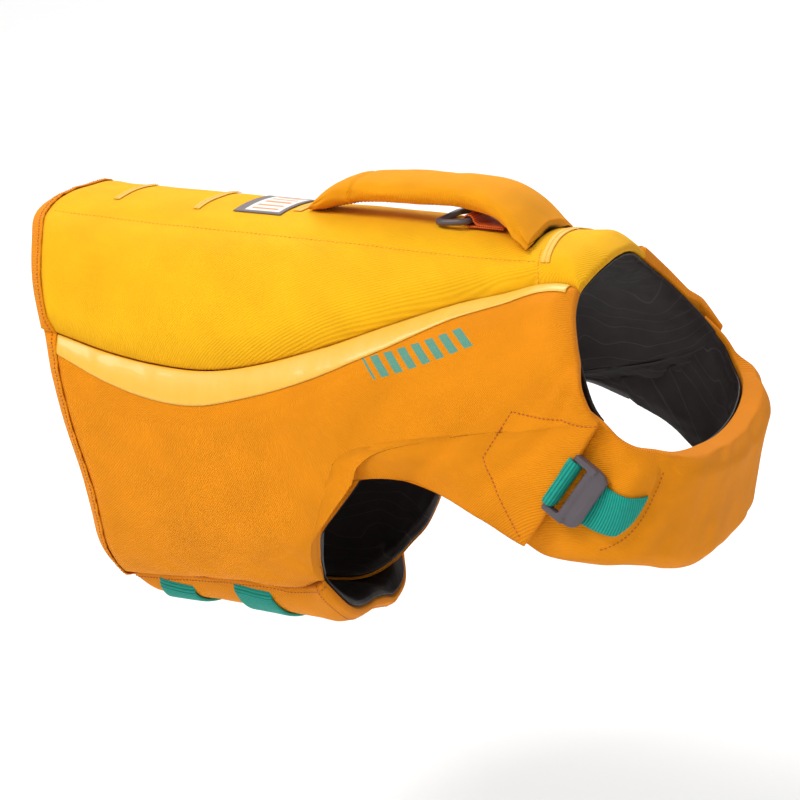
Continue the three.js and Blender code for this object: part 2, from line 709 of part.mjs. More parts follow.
// Collar and its lining
const collarColumns = even(0, 1, 32);
jacket.add(panelMesh("collar", collar, collarColumns, even(0, 1, 8), colours.orange));
jacket.add(layerMesh("collar_lining", collarLiningPlace, () => -liningDepth - liningThick, () => -liningDepth,
  even(0.012, 0.988, 20), even(0.02, 0.98, 4), colours.lining, 0.6));

// Belly panel and its lining
jacket.add(panelMesh("belly_panel", belly, even(0, 1, 12), even(0, 1, 16), colours.orange));
const bellyUnder = (depth) => (s, t) => belly.lift(s, t) - depth;
jacket.add(layerMesh("belly_lining", belly.place,
  bellyUnder(liningDepth + liningThick), bellyUnder(liningDepth),
  even(0.02, 0.985, 8), even(0.02, 0.985, 12), colours.lining, 0.6));

// Flat pieces laid on a panel between four corners, each a place on the form
function laidOn(name, piece, corners, gap, thick, steps, colour, roughness, hand = 1) {
  const place = (s, t) => {
    const top = straight(corners.topStart, corners.topEnd)(s);
    const low = straight(corners.lowStart, corners.lowEnd)(s);
    return straight(top, low)(t);
  };
  const height = (above) => (s, t) => {
    const here = place(s, t);
    return outerHeight(piece, here.u, here.a) + above;
  };
  const turned = (s, t) => {
    const here = place(s, t);
    return { u: here.u, a: here.a * hand };
  };
  const columns = even(0, 1, steps[0]);
  const rows = even(0, 1, steps[1]);
  return layerMesh(name, turned, height(gap), height(gap + thick), columns, rows, colour, roughness);
}

// A turned frame on a piece: x along the webbing, z out of the cloth
function placeOn(piece, spot, above) {
  const point = (u, a) => skin(u, a, outerHeight(piece, u, a) + above);
  const here = point(spot.u, spot.a);
  const along = point(spot.aheadU, spot.aheadA).sub(here).normalize();
  const across = wayOut(spot.u, spot.a).cross(along).normalize();
  const out = along.clone().cross(across);
  return new THREE.Matrix4().makeBasis(along, across, out).setPosition(here);
}

function roundedRectangle(long, wide, corner) {
  const shape = new THREE.Shape();
  const x = long / 2;
  const y = wide / 2;
  shape.absarc(x - corner, -y + corner, corner, -Math.PI / 2, 0);
  shape.absarc(x - corner, y - corner, corner, 0, Math.PI / 2);
  shape.absarc(-x + corner, y - corner, corner, Math.PI / 2, Math.PI);
  shape.absarc(-x + corner, -y + corner, corner, Math.PI, Math.PI * 1.5);
  return shape;
}

function slotHole(middle, long, wide) {
  const hole = new THREE.Path();
  hole.moveTo(middle - long / 2, -wide / 2);
  hole.lineTo(middle - long / 2, wide / 2);
  hole.lineTo(middle + long / 2, wide / 2);
  hole.lineTo(middle + long / 2, -wide / 2);
  return hole;
}

function placed(name, geometry, matrix, colour, roughness) {
  const mesh = new THREE.Mesh(geometry, material(colour, roughness));
  mesh.name = name;
  matrix.decompose(mesh.position, mesh.quaternion, mesh.scale);
  return mesh;
}

const webbingRough = 0.7;
const plasticRough = 0.45;
// Neck webbing, from under the mouth of each side panel to its slot in the collar, and its
// ladder lock. Degrees on the left side run on past the belly line, as on the collar.
const onwards = (hand, degrees) => (hand > 0 ? degrees : 360 - degrees);
for (const { side, hand, cuts } of shellSides) {
  const corners = Object.fromEntries(Object.entries(cuts.webbing)
    .map(([corner, { u, a }]) => [corner, { u, a: onwards(hand, a) }]));
  jacket.add(laidOn(`neck_webbing_${side}`, collar, corners, layGap, webbingThick, [10, 4],
    colours.teal, webbingRough));
  const outline = roundedRectangle(lock.long, lock.wide, lock.corner);
  outline.holes.push(slotHole(lock.rearSlotX, lock.rearSlot, webbingWidth + 1));
  outline.holes.push(slotHole(lock.frontSlotX, lock.frontSlot, webbingWidth));
  const section = { depth: lock.thick, bevelEnabled: false, curveSegments: 4 };
  const plate = new THREE.ExtrudeGeometry(outline, section);
  const spot = { ...cuts.lock, a: onwards(hand, cuts.lock.a), aheadA: onwards(hand, cuts.lock.aheadA) };
  const seat = placeOn(collar, spot, webbingThick + lock.above);
  jacket.add(placed(`ladder_lock_${side}`, plate, seat, colours.grey, plasticRough));
}

// Belly straps and their buckles on the left flank
const strapHalf = webbingWidth / 2 / perShare;
const strapEnd = 233;
const plugStart = bellyEnd + 1.5;
for (const { name, u, start: seamSide } of bellyStraps) {
  const corners = {
    topStart: { u: u - strapHalf, a: seamSide },
    topEnd: { u: u - strapHalf, a: strapEnd },
    lowStart: { u: u + strapHalf, a: seamSide },
    lowEnd: { u: u + strapHalf, a: strapEnd },
  };
  jacket.add(laidOn(`belly_strap_${name}`, belly, corners, layGap + 0.2, webbingThick, [16, 3],
    colours.teal, webbingRough));

  const start = skin(u, plugStart, bellyBuckle.height);
  const along = skin(u, bellyEnd + 24, bellyBuckle.height).sub(start).normalize();
  const across = wayOut(u, bellyEnd + 12).cross(along).normalize();
  const out = along.clone().cross(across);
  const spot = (distance) => new THREE.Matrix4().makeBasis(along, across, out)
    .setPosition(start.clone().addScaledVector(along, distance));
  const plug = roundedRectangle(bellyBuckle.plugLong, bellyBuckle.wide, lock.corner);
  plug.holes.push(slotHole(-1, bellyBuckle.slot, webbingWidth + 1));
  const plugSolid = new THREE.ExtrudeGeometry(plug, { depth: bellyBuckle.plugThick, bevelEnabled: false });
  const plugMiddle = bellyBuckle.plugLong / 2;
  jacket.add(placed(`buckle_plug_${name}`, plugSolid, spot(plugMiddle), colours.grey, plasticRough));
  const socket = roundedRectangle(bellyBuckle.socketLong, bellyBuckle.wide, 2 * lock.corner);
  const socketSolid = new THREE.ExtrudeGeometry(socket, { depth: bellyBuckle.thick, bevelEnabled: false });
  const socketMiddle = bellyBuckle.plugLong + seamGap + bellyBuckle.socketLong / 2;
  jacket.add(placed(`buckle_socket_${name}`, socketSolid, spot(socketMiddle), colours.grey, plasticRough));

  const anchor = {
    topStart: { u: u - strapHalf, a: anchorTurns.from },
    topEnd: { u: u - strapHalf, a: anchorTurns.to },
    lowStart: { u: u + strapHalf, a: anchorTurns.from },
    lowEnd: { u: u + strapHalf, a: anchorTurns.to },
  };
  jacket.add(laidOn(`buckle_anchor_${name}`, sideLeft, anchor, layGap, webbingThick, [6, 2],
    colours.teal, webbingRough, -1));
}

// Small flat pieces on the back
const backPieces = [
  { name: "label", rear: 0.345, front: 0.43, near: 12, colour: colours.labelWhite },
  { name: "pale_tape_rear", rear: 0.118, front: 0.13, near: 11, colour: colours.paleTape },
  { name: "pale_tape_middle", rear: 0.276, front: 0.288, near: 12, colour: colours.paleTape },
  { name: "handle_tab_rear", rear: 0.438, front: 0.453, near: 5, colour: colours.paleTape },
  { name: "handle_tab_front", rear: 0.874, front: 0.89, near: 22, colour: colours.paleTape },
];
for (const { name, rear, front, near, colour } of backPieces) {
  const corners = {
    topStart: { u: rear, a: -near },
    lowStart: { u: rear, a: near },
    topEnd: { u: front, a: -near },
    lowEnd: { u: front, a: near },
  };
  jacket.add(laidOn(name, back, corners, layGap, filmThick, [2, 12], colour, 0.6));
}

// Handle
function crownDrop(x, y) {
  const share = (x - rearTopX) / backLength;
  const half = smooth(rings, "u", "half", share);
  const power = 2 / smooth(rings, "u", "squareTop", share);
  const sine = (Math.abs(y) / half) ** (1 / power);
  const upright = Math.sqrt(1 - sine ** 2) ** power;
  return -smooth(rings, "u", "lowZ", share) * smooth(rings, "u", "widest", share) * (1 - upright);
}
const handleSquare = { across: 0.8, up: 0.9 };
const powered = (value, power) => Math.sign(value) * Math.abs(value) ** power;
const handleLoops = handleStations.map(({ x, z, half, tall, drape }) =>
  even(0, handleSides - 1, handleSides - 1).map((k) => {
    const turn = (k / handleSides) * 2 * Math.PI;
    const y = half * powered(Math.cos(turn), handleSquare.across);
    const rise = tall * powered(Math.sin(turn), handleSquare.up);
    return new THREE.Vector3(x, y, z + rise - drape * crownDrop(x, y));
  }));
jacket.add(tube("handle", handleLoops, colours.handleOrange));

// Leash ring: a rounded frame of square section, flat on the back
function ringOutline() {
  const long = ring.frontX - ring.rearX;
  const shape = roundedRectangle(long + ring.wire, 2 * ring.halfWide, ring.corner);
  const hole = roundedRectangle(long - ring.wire, 2 * (ring.halfWide - ring.wire), ring.innerCorner);
  shape.holes.push(new THREE.Path(hole.getPoints(3).reverse()));
  return new THREE.ExtrudeGeometry(shape, { depth: ring.wire, bevelEnabled: false, curveSegments: 3 });
}
const barRoom = (ring.wire / 2) * Math.SQRT2 + ringLoop.running;
const loopOuter = barRoom + ringLoop.thick;
const barHeight = backThick + seamGap + loopOuter;
const ringLong = ring.frontX - ring.rearX;
const restGap = 0.1;
const ringTilt = Math.asin((barHeight - backThick - seamGap - ring.wire / 2 - restGap) / ringLong);
const ringMatrix = new THREE.Matrix4().makeRotationY(-ringTilt);
ringMatrix.multiply(new THREE.Matrix4().makeTranslation(-ringLong / 2, 0, -ring.wire / 2));
ringMatrix.premultiply(new THREE.Matrix4().makeTranslation(ring.frontX, 0, barHeight));
jacket.add(placed("leash_ring", ringOutline(), ringMatrix, colours.grey, plasticRough));

// Webbing folded round the ring's front bar, its two layers sewn down under the handle
function loopProfile() {
  const tail = ringLoop.endX - ring.frontX;
  const tailTop = 2 * ringLoop.thick - loopOuter;
  const shape = new THREE.Shape();
  shape.absarc(0, 0, loopOuter, Math.PI * 0.35, Math.PI * 1.5);
  shape.lineTo(tail, -loopOuter);
  shape.lineTo(tail, tailTop);
  shape.lineTo(2 * loopOuter, tailTop);
  const hole = new THREE.Path();
  hole.absarc(0, 0, barRoom, 0, Math.PI * 2, true);
  shape.holes.push(hole);
  return new THREE.ExtrudeGeometry(shape, { depth: ringLoop.wide, bevelEnabled: false, curveSegments: 6 });
}
const loopMatrix = new THREE.Matrix4().makeBasis(
  new THREE.Vector3(1, 0, 0),
  new THREE.Vector3(0, 0, 1),
  new THREE.Vector3(0, -1, 0),
);
loopMatrix.setPosition(ring.frontX, ringLoop.wide / 2, barHeight);
jacket.add(placed("ring_webbing", loopProfile(), loopMatrix, colours.orange, 0.8));

export default jacket;
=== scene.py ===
import math

import bmesh
import bpy
import numpy as np
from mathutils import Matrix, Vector


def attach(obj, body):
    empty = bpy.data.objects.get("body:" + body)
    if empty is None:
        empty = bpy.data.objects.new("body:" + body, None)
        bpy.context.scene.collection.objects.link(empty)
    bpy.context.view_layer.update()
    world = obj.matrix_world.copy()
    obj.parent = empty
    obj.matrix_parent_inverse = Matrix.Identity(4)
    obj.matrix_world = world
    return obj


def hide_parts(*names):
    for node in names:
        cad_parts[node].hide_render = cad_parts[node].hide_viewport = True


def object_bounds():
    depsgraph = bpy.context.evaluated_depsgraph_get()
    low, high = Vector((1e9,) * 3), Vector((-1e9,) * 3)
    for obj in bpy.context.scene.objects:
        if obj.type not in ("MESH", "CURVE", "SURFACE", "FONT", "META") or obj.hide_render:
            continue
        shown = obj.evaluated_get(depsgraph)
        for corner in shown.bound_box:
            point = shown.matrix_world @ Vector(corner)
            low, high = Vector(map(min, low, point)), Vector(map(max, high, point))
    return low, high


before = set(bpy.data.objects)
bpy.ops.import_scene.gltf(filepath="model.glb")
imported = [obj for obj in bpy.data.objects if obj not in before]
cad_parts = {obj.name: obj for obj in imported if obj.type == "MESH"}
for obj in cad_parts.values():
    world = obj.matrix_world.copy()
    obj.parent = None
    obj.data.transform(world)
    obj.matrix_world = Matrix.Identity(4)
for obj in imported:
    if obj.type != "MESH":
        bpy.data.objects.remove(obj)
cad_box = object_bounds()
scene = bpy.context.scene

# Camera and studio. The camera stands off the jacket's right shoulder, a little above its back.
# Large soft lights and a pale floor stand round it.
CAMERA_AIM = Vector((0.020, 0, -0.084))
CAMERA_TURN = math.radians(25)
CAMERA_RISE = math.radians(16)
CAMERA_DISTANCE = 1.3
CAMERA_LENS = 117
FLOOR_DROP = 0.16
FLOOR_HALF = 9

camera_data = bpy.data.cameras.new("camera")
camera_data.lens = CAMERA_LENS
camera = bpy.data.objects.new("camera", camera_data)
scene.collection.objects.link(camera)
to_camera = Vector((
    math.sin(CAMERA_TURN) * math.cos(CAMERA_RISE),
    -math.cos(CAMERA_TURN) * math.cos(CAMERA_RISE),
    math.sin(CAMERA_RISE),
))
camera.location = CAMERA_AIM + to_camera * CAMERA_DISTANCE
camera.rotation_euler = (-to_camera).to_track_quat("-Z", "Y").to_euler()
scene.camera = camera

# Name, place, aim, size in metres and watts
LIGHTS = [
    ("key_light", (-0.9, -1.5, 2.0), CAMERA_AIM, 1.2, 50),
    ("front_light", (1.9, -1.3, 1.1), CAMERA_AIM, 1.4, 3),
    ("back_light", (-0.4, 1.6, 1.8), CAMERA_AIM, 1.6, 27),
    ("far_floor_light", (-1.8, 4.6, 3.2), Vector((-1.8, 4.6, 0)), 4.0, 110),
    ("near_floor_light", (1.5, -1.9, 2.0), Vector((1.5, -1.9, 0)), 1.4, 11),
]
for name, place, aim, size, watts in LIGHTS:
    lamp = bpy.data.lights.new(name, "AREA")
    lamp.size = size
    lamp.energy = watts
    light = bpy.data.objects.new(name, lamp)
    light.location = place
    light.rotation_euler = (aim - light.location).to_track_quat("-Z", "Y").to_euler()
    scene.collection.objects.link(light)

world = bpy.data.worlds.new("studio")
world.use_nodes = True
world.node_tree.nodes["Background"].inputs["Color"].default_value = (1, 1, 1, 1)
world.node_tree.nodes["Background"].inputs["Strength"].default_value = 0.52
scene.world = world
scene.view_settings.view_transform = "Standard"

floor_mesh = bpy.data.meshes.new("floor")
floor_z = cad_box[0].z - FLOOR_DROP
corners = [(-1, -1), (1, -1), (1, 1), (-1, 1)]
floor_mesh.from_pydata([(x * FLOOR_HALF, y * FLOOR_HALF, floor_z) for x, y in corners], [], [(0, 1, 2, 3)])
floor = bpy.data.objects.new("floor", floor_mesh)
scene.collection.objects.link(floor)
floor_paint = bpy.data.materials.new("floor_paint")
floor_paint.use_nodes = True
floor_paint.node_tree.nodes["Principled BSDF"].inputs["Base Color"].default_value = (0.9, 0.9, 0.9, 1)
floor_paint.node_tree.nodes["Principled BSDF"].inputs["Roughness"].default_value = 0.8
floor_mesh.materials.append(floor_paint)

# Back panel. A yellow canvas panel over 10 mm of foam, cut in one piece from hem to neck and
# sewn to both side panels. It lies on the form that every panel is cut to: rings round the
# body, with u from 0 at the hem to 1 at the neck and a in degrees from the spine.
MM = 0.001
BACK_LENGTH = 306
PER_DEGREE = 1.45
PER_SHARE = 336
EDGE_THICK = 3.2
EDGE_ROLL = 15
BACK_THICK = 10
SEAM_SHIFT = 0.13
YELLOW = (0.93, 0.46, 0.006)


def table(columns, *rows):
    return dict(zip(columns.split(), np.array(rows, float).T))


RINGS = table(
    "u topX topZ lowX lowZ half widest squareTop squareLow",
    (0, -166, 0, -114, -190, 66, 0.38, 2.5, 2.6),
    (0.25, -92, 0, -42, -188, 73, 0.44, 2.45, 2.6),
    (0.5, -14, 0, 34, -186, 78, 0.49, 2.35, 2.6),
    (0.75, 66, 0, 126, -178, 80, 0.54, 2.1, 2.4),
    (0.88, 106, 0, 180, -146, 78, 0.56, 1.95, 2.3),
    (1, 140, 2, 186, -80, 74, 0.6, 1.85, 2.2),
)
HEM = table(
    "a u", (0, -0.008), (26, -0.01), (40, 0.007), (60, 0.022), (78, 0.034), (94, 0.028),
    (108, 0.03), (120, 0.018), (131, 0), (180, 0))
SEAM_ROWS = [
    (0.034, 75.5), (0.135, 77.5), (0.242, 77.5), (0.35, 75), (0.455, 68.5), (0.555, 59.5),
    (0.657, 48), (0.75, 38.5), (0.82, 33), (0.885, 28.3)]

# Cut lines that differ from side to side: worn, the left shoulder sits higher and further out
NECK = {
    "right": table(
        "a u", (0, 0.985), (14, 0.977), (25, 0.96), (32, 0.946), (39, 0.94), (52, 0.938), (66, 0.938),
        (78, 0.941), (84, 0.948)),
    "left": table(
        "a u", (0, 0.985), (14, 0.98), (25, 0.968), (32, 0.96), (39, 0.956), (52, 0.957), (66, 0.963),
        (78, 0.97), (84, 0.973)),
}
SEAM = {
    "right": table("u a", *SEAM_ROWS, (0.925, 29.6), (0.945, 32.6)),
    "left": table("u a", *SEAM_ROWS, (0.935, 29.2), (0.96, 32)),
}


def mix(start, end, share):
    return start + (end - start) * share


def clamp(value):
    return np.clip(value, 0, 1)


def ease(value):
    return clamp(value) ** 2 * (3 - 2 * clamp(value))


# A smooth line through a table's rows, with slopes taken from the neighbours
def smooth(rows, along, column, at):
    x, y = rows[along], rows[column]
    chord = np.diff(y) / np.diff(x)
    slope = np.concatenate([chord[:1], np.zeros(len(x) - 2), chord[-1:]])
    before, after = np.diff(x)[:-1], np.diff(x)[1:]
    slope[1:-1] = (chord[:-1] * after + chord[1:] * before) / (before + after)
    at = np.asarray(at, float)
    i = np.clip(np.searchsorted(x, at, side="right") - 1, 0, len(x) - 2)
    span = x[i + 1] - x[i]
    t = (at - x[i]) / span
    first = (2 * t**3 - 3 * t**2 + 1) * y[i] + (t**3 - 2 * t**2 + t) * span * slope[i]
    second = (3 * t**2 - 2 * t**3) * y[i + 1] + (t**3 - t**2) * span * slope[i + 1]
    low = y[0] + slope[0] * (at - x[0])
    high = y[-1] + slope[-1] * (at - x[-1])
    return np.where(at <= x[0], low, np.where(at >= x[-1], high, first + second))


def place_of(u, a):
    return np.stack(np.broadcast_arrays(u, a), -1).astype(float)


def u_a(place):
    return np.moveaxis(place, -1, 0)


def form_point(u, a):
    value = {name: smooth(RINGS, "u", name, u) for name in RINGS}
    sine, cosine = np.sin(np.radians(a)), np.cos(np.radians(a))
    upper = cosine > 0
    power = 2 / np.where(upper, value["squareTop"], value["squareLow"])
    upright = np.abs(cosine) ** power
    widest = value["widest"]
    share = np.where(upper, widest * (1 - upright), widest + (1 - widest) * upright)
    return np.stack([
        mix(value["topX"], value["lowX"], share),
        -value["half"] * np.sign(sine) * np.abs(sine) ** power,
        mix(value["topZ"], value["lowZ"], share),
    ], -1)


def way_out(u, a):
    along = form_point(u + 0.002, a) - form_point(u - 0.002, a)
    around = form_point(u, a + 0.4) - form_point(u, a - 0.4)
    out = np.cross(around, along)
    return out / np.linalg.norm(out, axis=-1, keepdims=True)


def skin(u, a, out):
    return form_point(u, a) + way_out(u, a) * np.asarray(out)[..., None]


# A piece's place on the form, filled in between its four cut lines
def coons(top, bottom, rear, front):
    def place(s, t):
        s, t = np.broadcast_arrays(np.asarray(s, float), np.asarray(t, float))
        across = mix(top(s), bottom(s), t[..., None])
        lengthways = mix(rear(t), front(t), s[..., None])
        top_mix = mix(top(0.0), top(1.0), s[..., None])
        low_mix = mix(bottom(0.0), bottom(1.0), s[..., None])
        return across + lengthways - mix(top_mix, low_mix, t[..., None])
    return place


def seam_line(side, shift):
    rows = SEAM[side]

    def line(s):
        u = mix(rows["u"][0], rows["u"][-1], np.asarray(s, float))
        return place_of(u, smooth(rows, "u", "a", u) + shift)
    return line


def end_between(rows, start, end):
    def line(t):
        a = mix(start, end, np.asarray(t, float))
        return place_of(smooth(rows, "a", "u", a), a)
    return line


def straight(start, end):
    start, end = np.array(start, float), np.array(end, float)
    return lambda t: mix(start, end, np.asarray(t, float)[..., None])


# Points spaced along the straight runs of a line
def polyline(line, count):
    return np.concatenate([straight(p, q)(np.linspace(0, 1, count)) for p, q in zip(line[:-1], line[1:])])


# Smooth noise from -1 to 1, with one knot at each whole number
def ripple(x, y, seed):
    knots = np.random.default_rng(seed).uniform(-1, 1, (64, 64))
    x, y = np.broadcast_arrays(np.asarray(x, float), np.asarray(y, float))
    i, j = np.floor(x).astype(int), np.floor(y).astype(int)
    fx, fy = ease(x - i), ease(y - j)
    near = mix(knots[i % 64, j % 64], knots[(i + 1) % 64, j % 64], fx)
    far = mix(knots[i % 64, (j + 1) % 64], knots[(i + 1) % 64, (j + 1) % 64], fx)
    return mix(near, far, fy)


# Shares along a cut side, close together at its ends, where the edge is rolled
ROLL_STEPS = np.array([0, 0.2, 0.5, 0.9, 1.4, 2.2, 3.4])


def stations(length, step):
    near = ROLL_STEPS / length
    middle = np.linspace(near[-1], 1 - near[-1], round(length / step))
    return np.concatenate([near[:-1], middle, 1 - near[-2::-1]])


def roll_share(distance):
    return np.sin(clamp(distance / EDGE_ROLL) * math.pi / 2)


def pillow(thick, distance):
    return mix(EDGE_THICK, thick, roll_share(distance))


# Drop of a rounded rim at a distance from the cut edge
def rim(distance, radius):
    inside = clamp(distance / radius)
    return radius * (1 - np.sqrt(1 - (1 - inside) ** 2))


# Distance on the cloth from a line of places
def line_distance(u, a, line):
    best = np.full(np.shape(u), 1e9)
    flat = [(lu * PER_SHARE, la * PER_DEGREE) for lu, la in line]
    for (x0, y0), (x1, y1) in zip(flat[:-1], flat[1:]):
        run = np.array([x1 - x0, y1 - y0])
        share = clamp(((u * PER_SHARE - x0) * run[0] + (a * PER_DEGREE - y0) * run[1]) / (run @ run))
        off = np.hypot(u * PER_SHARE - x0 - share * run[0], a * PER_DEGREE - y0 - share * run[1])
        best = np.minimum(best, off)
    return best


def groove(distance, depth, wide):
    return -depth * np.exp(-((distance / wide) ** 2))


class Panel:
    """A cut piece on the form: its place, the height of its inner face, its thickness and its relief."""

    closed = ()

    def __init__(self, place, lift, thick, relief, size, step, span=(0, 1), hand=1):
        self.place, self.lift, self.thick, self.span, self.hand = place, lift, thick, span, hand
        self.s = stations(size[0], step)
        self.v = mix(span[0], span[1], stations(size[1], step))
        s, v = self.s[:, None], self.v[None, :]
        self.u, self.a = u_a(place(s, v))
        self.inside = lift(s, v) * np.ones_like(self.u)
        outside = self.inside + thick(s, v)
        base = skin(self.u, self.a, outside)
        self.along = self.walk(base, 0)
        self.across = self.walk(base, 1)
        self.edges = {
            "rear": self.along,
            "front": self.along[-1:, :] - self.along,
            "top": self.across,
            "bottom": self.across[:, -1:] - self.across,
        }
        self.outside = outside + relief(self)

    @staticmethod
    def walk(points, axis):
        steps = np.linalg.norm(np.diff(points, axis=axis), axis=-1)
        return np.concatenate([np.zeros_like(np.take(steps, [0], axis)), np.cumsum(steps, axis)], axis)

    def edge(self):
        return np.minimum.reduce(list(self.edges.values()))

    # Soft waves of the padding, flat at its edges. A row holds their height, how many run along
    # the piece, and the degrees round the body that one takes.
    def waves(self, seed, *rows):
        total = sum(height * ripple(self.u * many, self.a / degrees, seed + i)
                    for i, (height, many, degrees) in enumerate(rows))
        return total * roll_share(self.edge())

    # Puckers that run in from sewn edges and fade. A row holds the edge, and the puckers' seed,
    # height, pitch and reach.
    def puckers(self, *rows):
        total = 0
        for edge, seed, height, pitch, reach in rows:
            along = self.across if edge in ("rear", "front") else self.along
            distance = self.edges[edge]
            fade = np.exp(-distance / reach) * (1 - np.exp(-distance / 1.2))
            total = total + height * ripple(along / pitch, distance / 30, seed) * fade
        return total

    # The inner face rises to meet the outer one at the edges that the lining is sewn to
    def closing(self):
        return sum((CLOSING * ease(1 - self.edges[edge] / 7) for edge in self.closed), 0 * self.u)

    # The rims are rounded over, so that every seam is a soft valley
    def walls(self, rounding=1.2):
        distance = self.edge()
        inner = self.inside + 0.6 * rim(distance, rounding) + self.closing()
        outer = self.outside - rim(distance, rounding)
        return skin(self.u, self.a * self.hand, inner), skin(self.u, self.a * self.hand, outer)

    # Height of the outer face at shares of the piece, read from its own grid
    def height(self, s, v):
        i = np.clip(np.searchsorted(self.s, s) - 1, 0, len(self.s) - 2)
        j = np.clip(np.searchsorted(self.v, v) - 1, 0, len(self.v) - 2)
        fs = clamp((s - self.s[i]) / (self.s[i + 1] - self.s[i]))
        fv = clamp((v - self.v[j]) / (self.v[j + 1] - self.v[j]))
        near = mix(self.outside[i, j], self.outside[i + 1, j], fs)
        far = mix(self.outside[i, j + 1], self.outside[i + 1, j + 1], fs)
        return mix(near, far, fv)

    # Shares of the piece at places on the form, found by walking towards them
    def shares(self, u, a):
        u, a = np.broadcast_arrays(np.asarray(u, float), np.asarray(a, float))
        s = np.full(u.shape, 0.5)
        v = np.full(u.shape, sum(self.span) / 2 + 0.01)
        step = 0.001
        for _ in range(14):
            here, by_s, by_v = self.place(s, v), self.place(s + step, v), self.place(s, v + step)
            (su, sa), (vu, va) = u_a((by_s - here) / step), u_a((by_v - here) / step)
            det = su * va - sa * vu
            du, da = u - here[..., 0], a - here[..., 1]
            s = clamp(s + (du * va - da * vu) / det)
            v = np.clip(v + (da * su - du * sa) / det, *self.span)
        return s, v

    # A line on the outer face, at a distance in from one edge
    def edge_line(self, edge, inset, end=1.0, above=0.1):
        share = np.linspace(0, end, 400)
        if edge == "front":
            v = mix(*self.span, share)
            s = 1 - inset / np.interp(v, self.v, self.along[-1, :])
        else:
            near = inset / np.interp(share, self.s, self.across[:, -1]) * (self.span[1] - self.span[0])
            v = self.span[0] + near if edge == "top" else self.span[1] - near
            s = share
        u, a = u_a(self.place(s, v))
        return skin(u, a * self.hand, self.height(s, v) + above)

    def line_on(self, line, above=0.1):
        u, a = polyline(line, 60).T
        s, v = self.shares(u, a)
        return skin(u, a * self.hand, self.height(s, v) + above)


def volume_of(points, faces):
    corner = [points[faces[:, k]] for k in range(4)]
    first = np.einsum("ij,ij->i", corner[0], np.cross(corner[1], corner[2]))
    second = np.einsum("ij,ij->i", corner[0], np.cross(corner[2], corner[3]))
    return first.sum() + second.sum()


# A named map from one pair of mm values for each vertex
def add_map(mesh, name, values):
    corner = np.zeros(len(mesh.loops), int)
    mesh.loops.foreach_get("vertex_index", corner)
    mesh.uv_layers.new(name=name).data.foreach_set("uv", (values[corner] * MM).astype(np.float32).ravel())


# A closed mesh from points in mm, with the cloth's own coordinates in metres as its map and
# its nearness to a seam as an attribute
def make_piece(name, points, faces, cloth=None, seam=None):
    faces = faces if volume_of(points, faces) > 0 else faces[:, ::-1]
    mesh = bpy.data.meshes.new(name)
    mesh.from_pydata((points * MM).tolist(), [], faces.tolist())
    if cloth is not None:
        add_map(mesh, "cloth", cloth)
    if seam is not None:
        attribute = mesh.attributes.new("seam", "FLOAT", "POINT")
        attribute.data.foreach_set("value", seam.astype(np.float32).ravel())
    mesh.shade_smooth()
    piece = bpy.data.objects.new(name, mesh)
    scene.collection.objects.link(piece)
    return piece


def quads(*corner):
    return np.stack(corner, -1).reshape(-1, 4)


# Points and faces of a closed wall between two grids of points
def wall_faces(inner, outer):
    count, rows = inner.shape[:2]
    low, top = np.arange(2 * count * rows).reshape(2, count, rows)
    faces = np.concatenate([
        quads(top[:-1, :-1], top[:-1, 1:], top[1:, 1:], top[1:, :-1]),
        quads(low[:-1, :-1], low[1:, :-1], low[1:, 1:], low[:-1, 1:]),
        quads(low[:-1, 0], top[:-1, 0], top[1:, 0], low[1:, 0]),
        quads(low[:-1, -1], low[1:, -1], top[1:, -1], top[:-1, -1]),
        quads(low[0, :-1], low[0, 1:], top[0, 1:], top[0, :-1]),
        quads(low[-1, :-1], top[-1, :-1], top[-1, 1:], low[-1, 1:]),
    ])
    return np.concatenate([inner.reshape(-1, 3), outer.reshape(-1, 3)]), faces


def wall(name, inner, outer, cloth=None, seam=None):
    points, faces = wall_faces(inner, outer)
    if cloth is None:
        cloth = np.stack([Panel.walk(outer, 0), Panel.walk(outer, 1)], -1)
    cloth = np.tile(cloth.reshape(-1, 2), (2, 1))
    if seam is not None:
        seam = np.tile(seam.reshape(-1), 2)
    return make_piece(name, points, faces, cloth, seam)


def panel_piece(name, panel):
    inner, outer = panel.walls()
    cloth = np.stack([panel.along, panel.across * panel.hand], -1)
    # Nearness to the edges, which the canvas paints as shade near each seam
    return wall(name, inner, outer, cloth, np.exp(-panel.edge() / 2.5))


def node(tree, kind, inputs=None, **settings):
    made = tree.nodes.new(kind)
    for key, value in settings.items():
        setattr(made, key, value)
    for key, value in (inputs or {}).items():
        if isinstance(value, bpy.types.NodeSocket):
            tree.links.new(value, made.inputs[key])
        else:
            made.inputs[key].default_value = value
    return made


def maths(tree, operation, *values):
    return node(tree, "ShaderNodeMath", dict(enumerate(values)), operation=operation).outputs[0]


def cloth_map(tree, name="cloth"):
    return node(tree, "ShaderNodeUVMap", uv_map=name).outputs[0]


def split(tree, vector):
    return node(tree, "ShaderNodeSeparateXYZ", {0: vector}).outputs


def noise(tree, place, scale, detail):
    return node(tree, "ShaderNodeTexNoise", {"Vector": place, "Scale": scale, "Detail": detail}).outputs[0]


def blend(tree, share, low, high):
    return node(tree, "ShaderNodeMix", {"Factor": share, 6: low, 7: high}, data_type="RGBA").outputs[2]


def group_tree(name, inputs, outputs):
    tree = bpy.data.node_groups.new(name, "ShaderNodeTree")
    for label, kind in inputs.items():
        tree.interface.new_socket(label, in_out="INPUT", socket_type=f"NodeSocket{kind}")
    for label in outputs:
        tree.interface.new_socket(label, in_out="OUTPUT", socket_type="NodeSocketFloat")
    return tree, tree.nodes.new("NodeGroupInput").outputs, tree.nodes.new("NodeGroupOutput").inputs


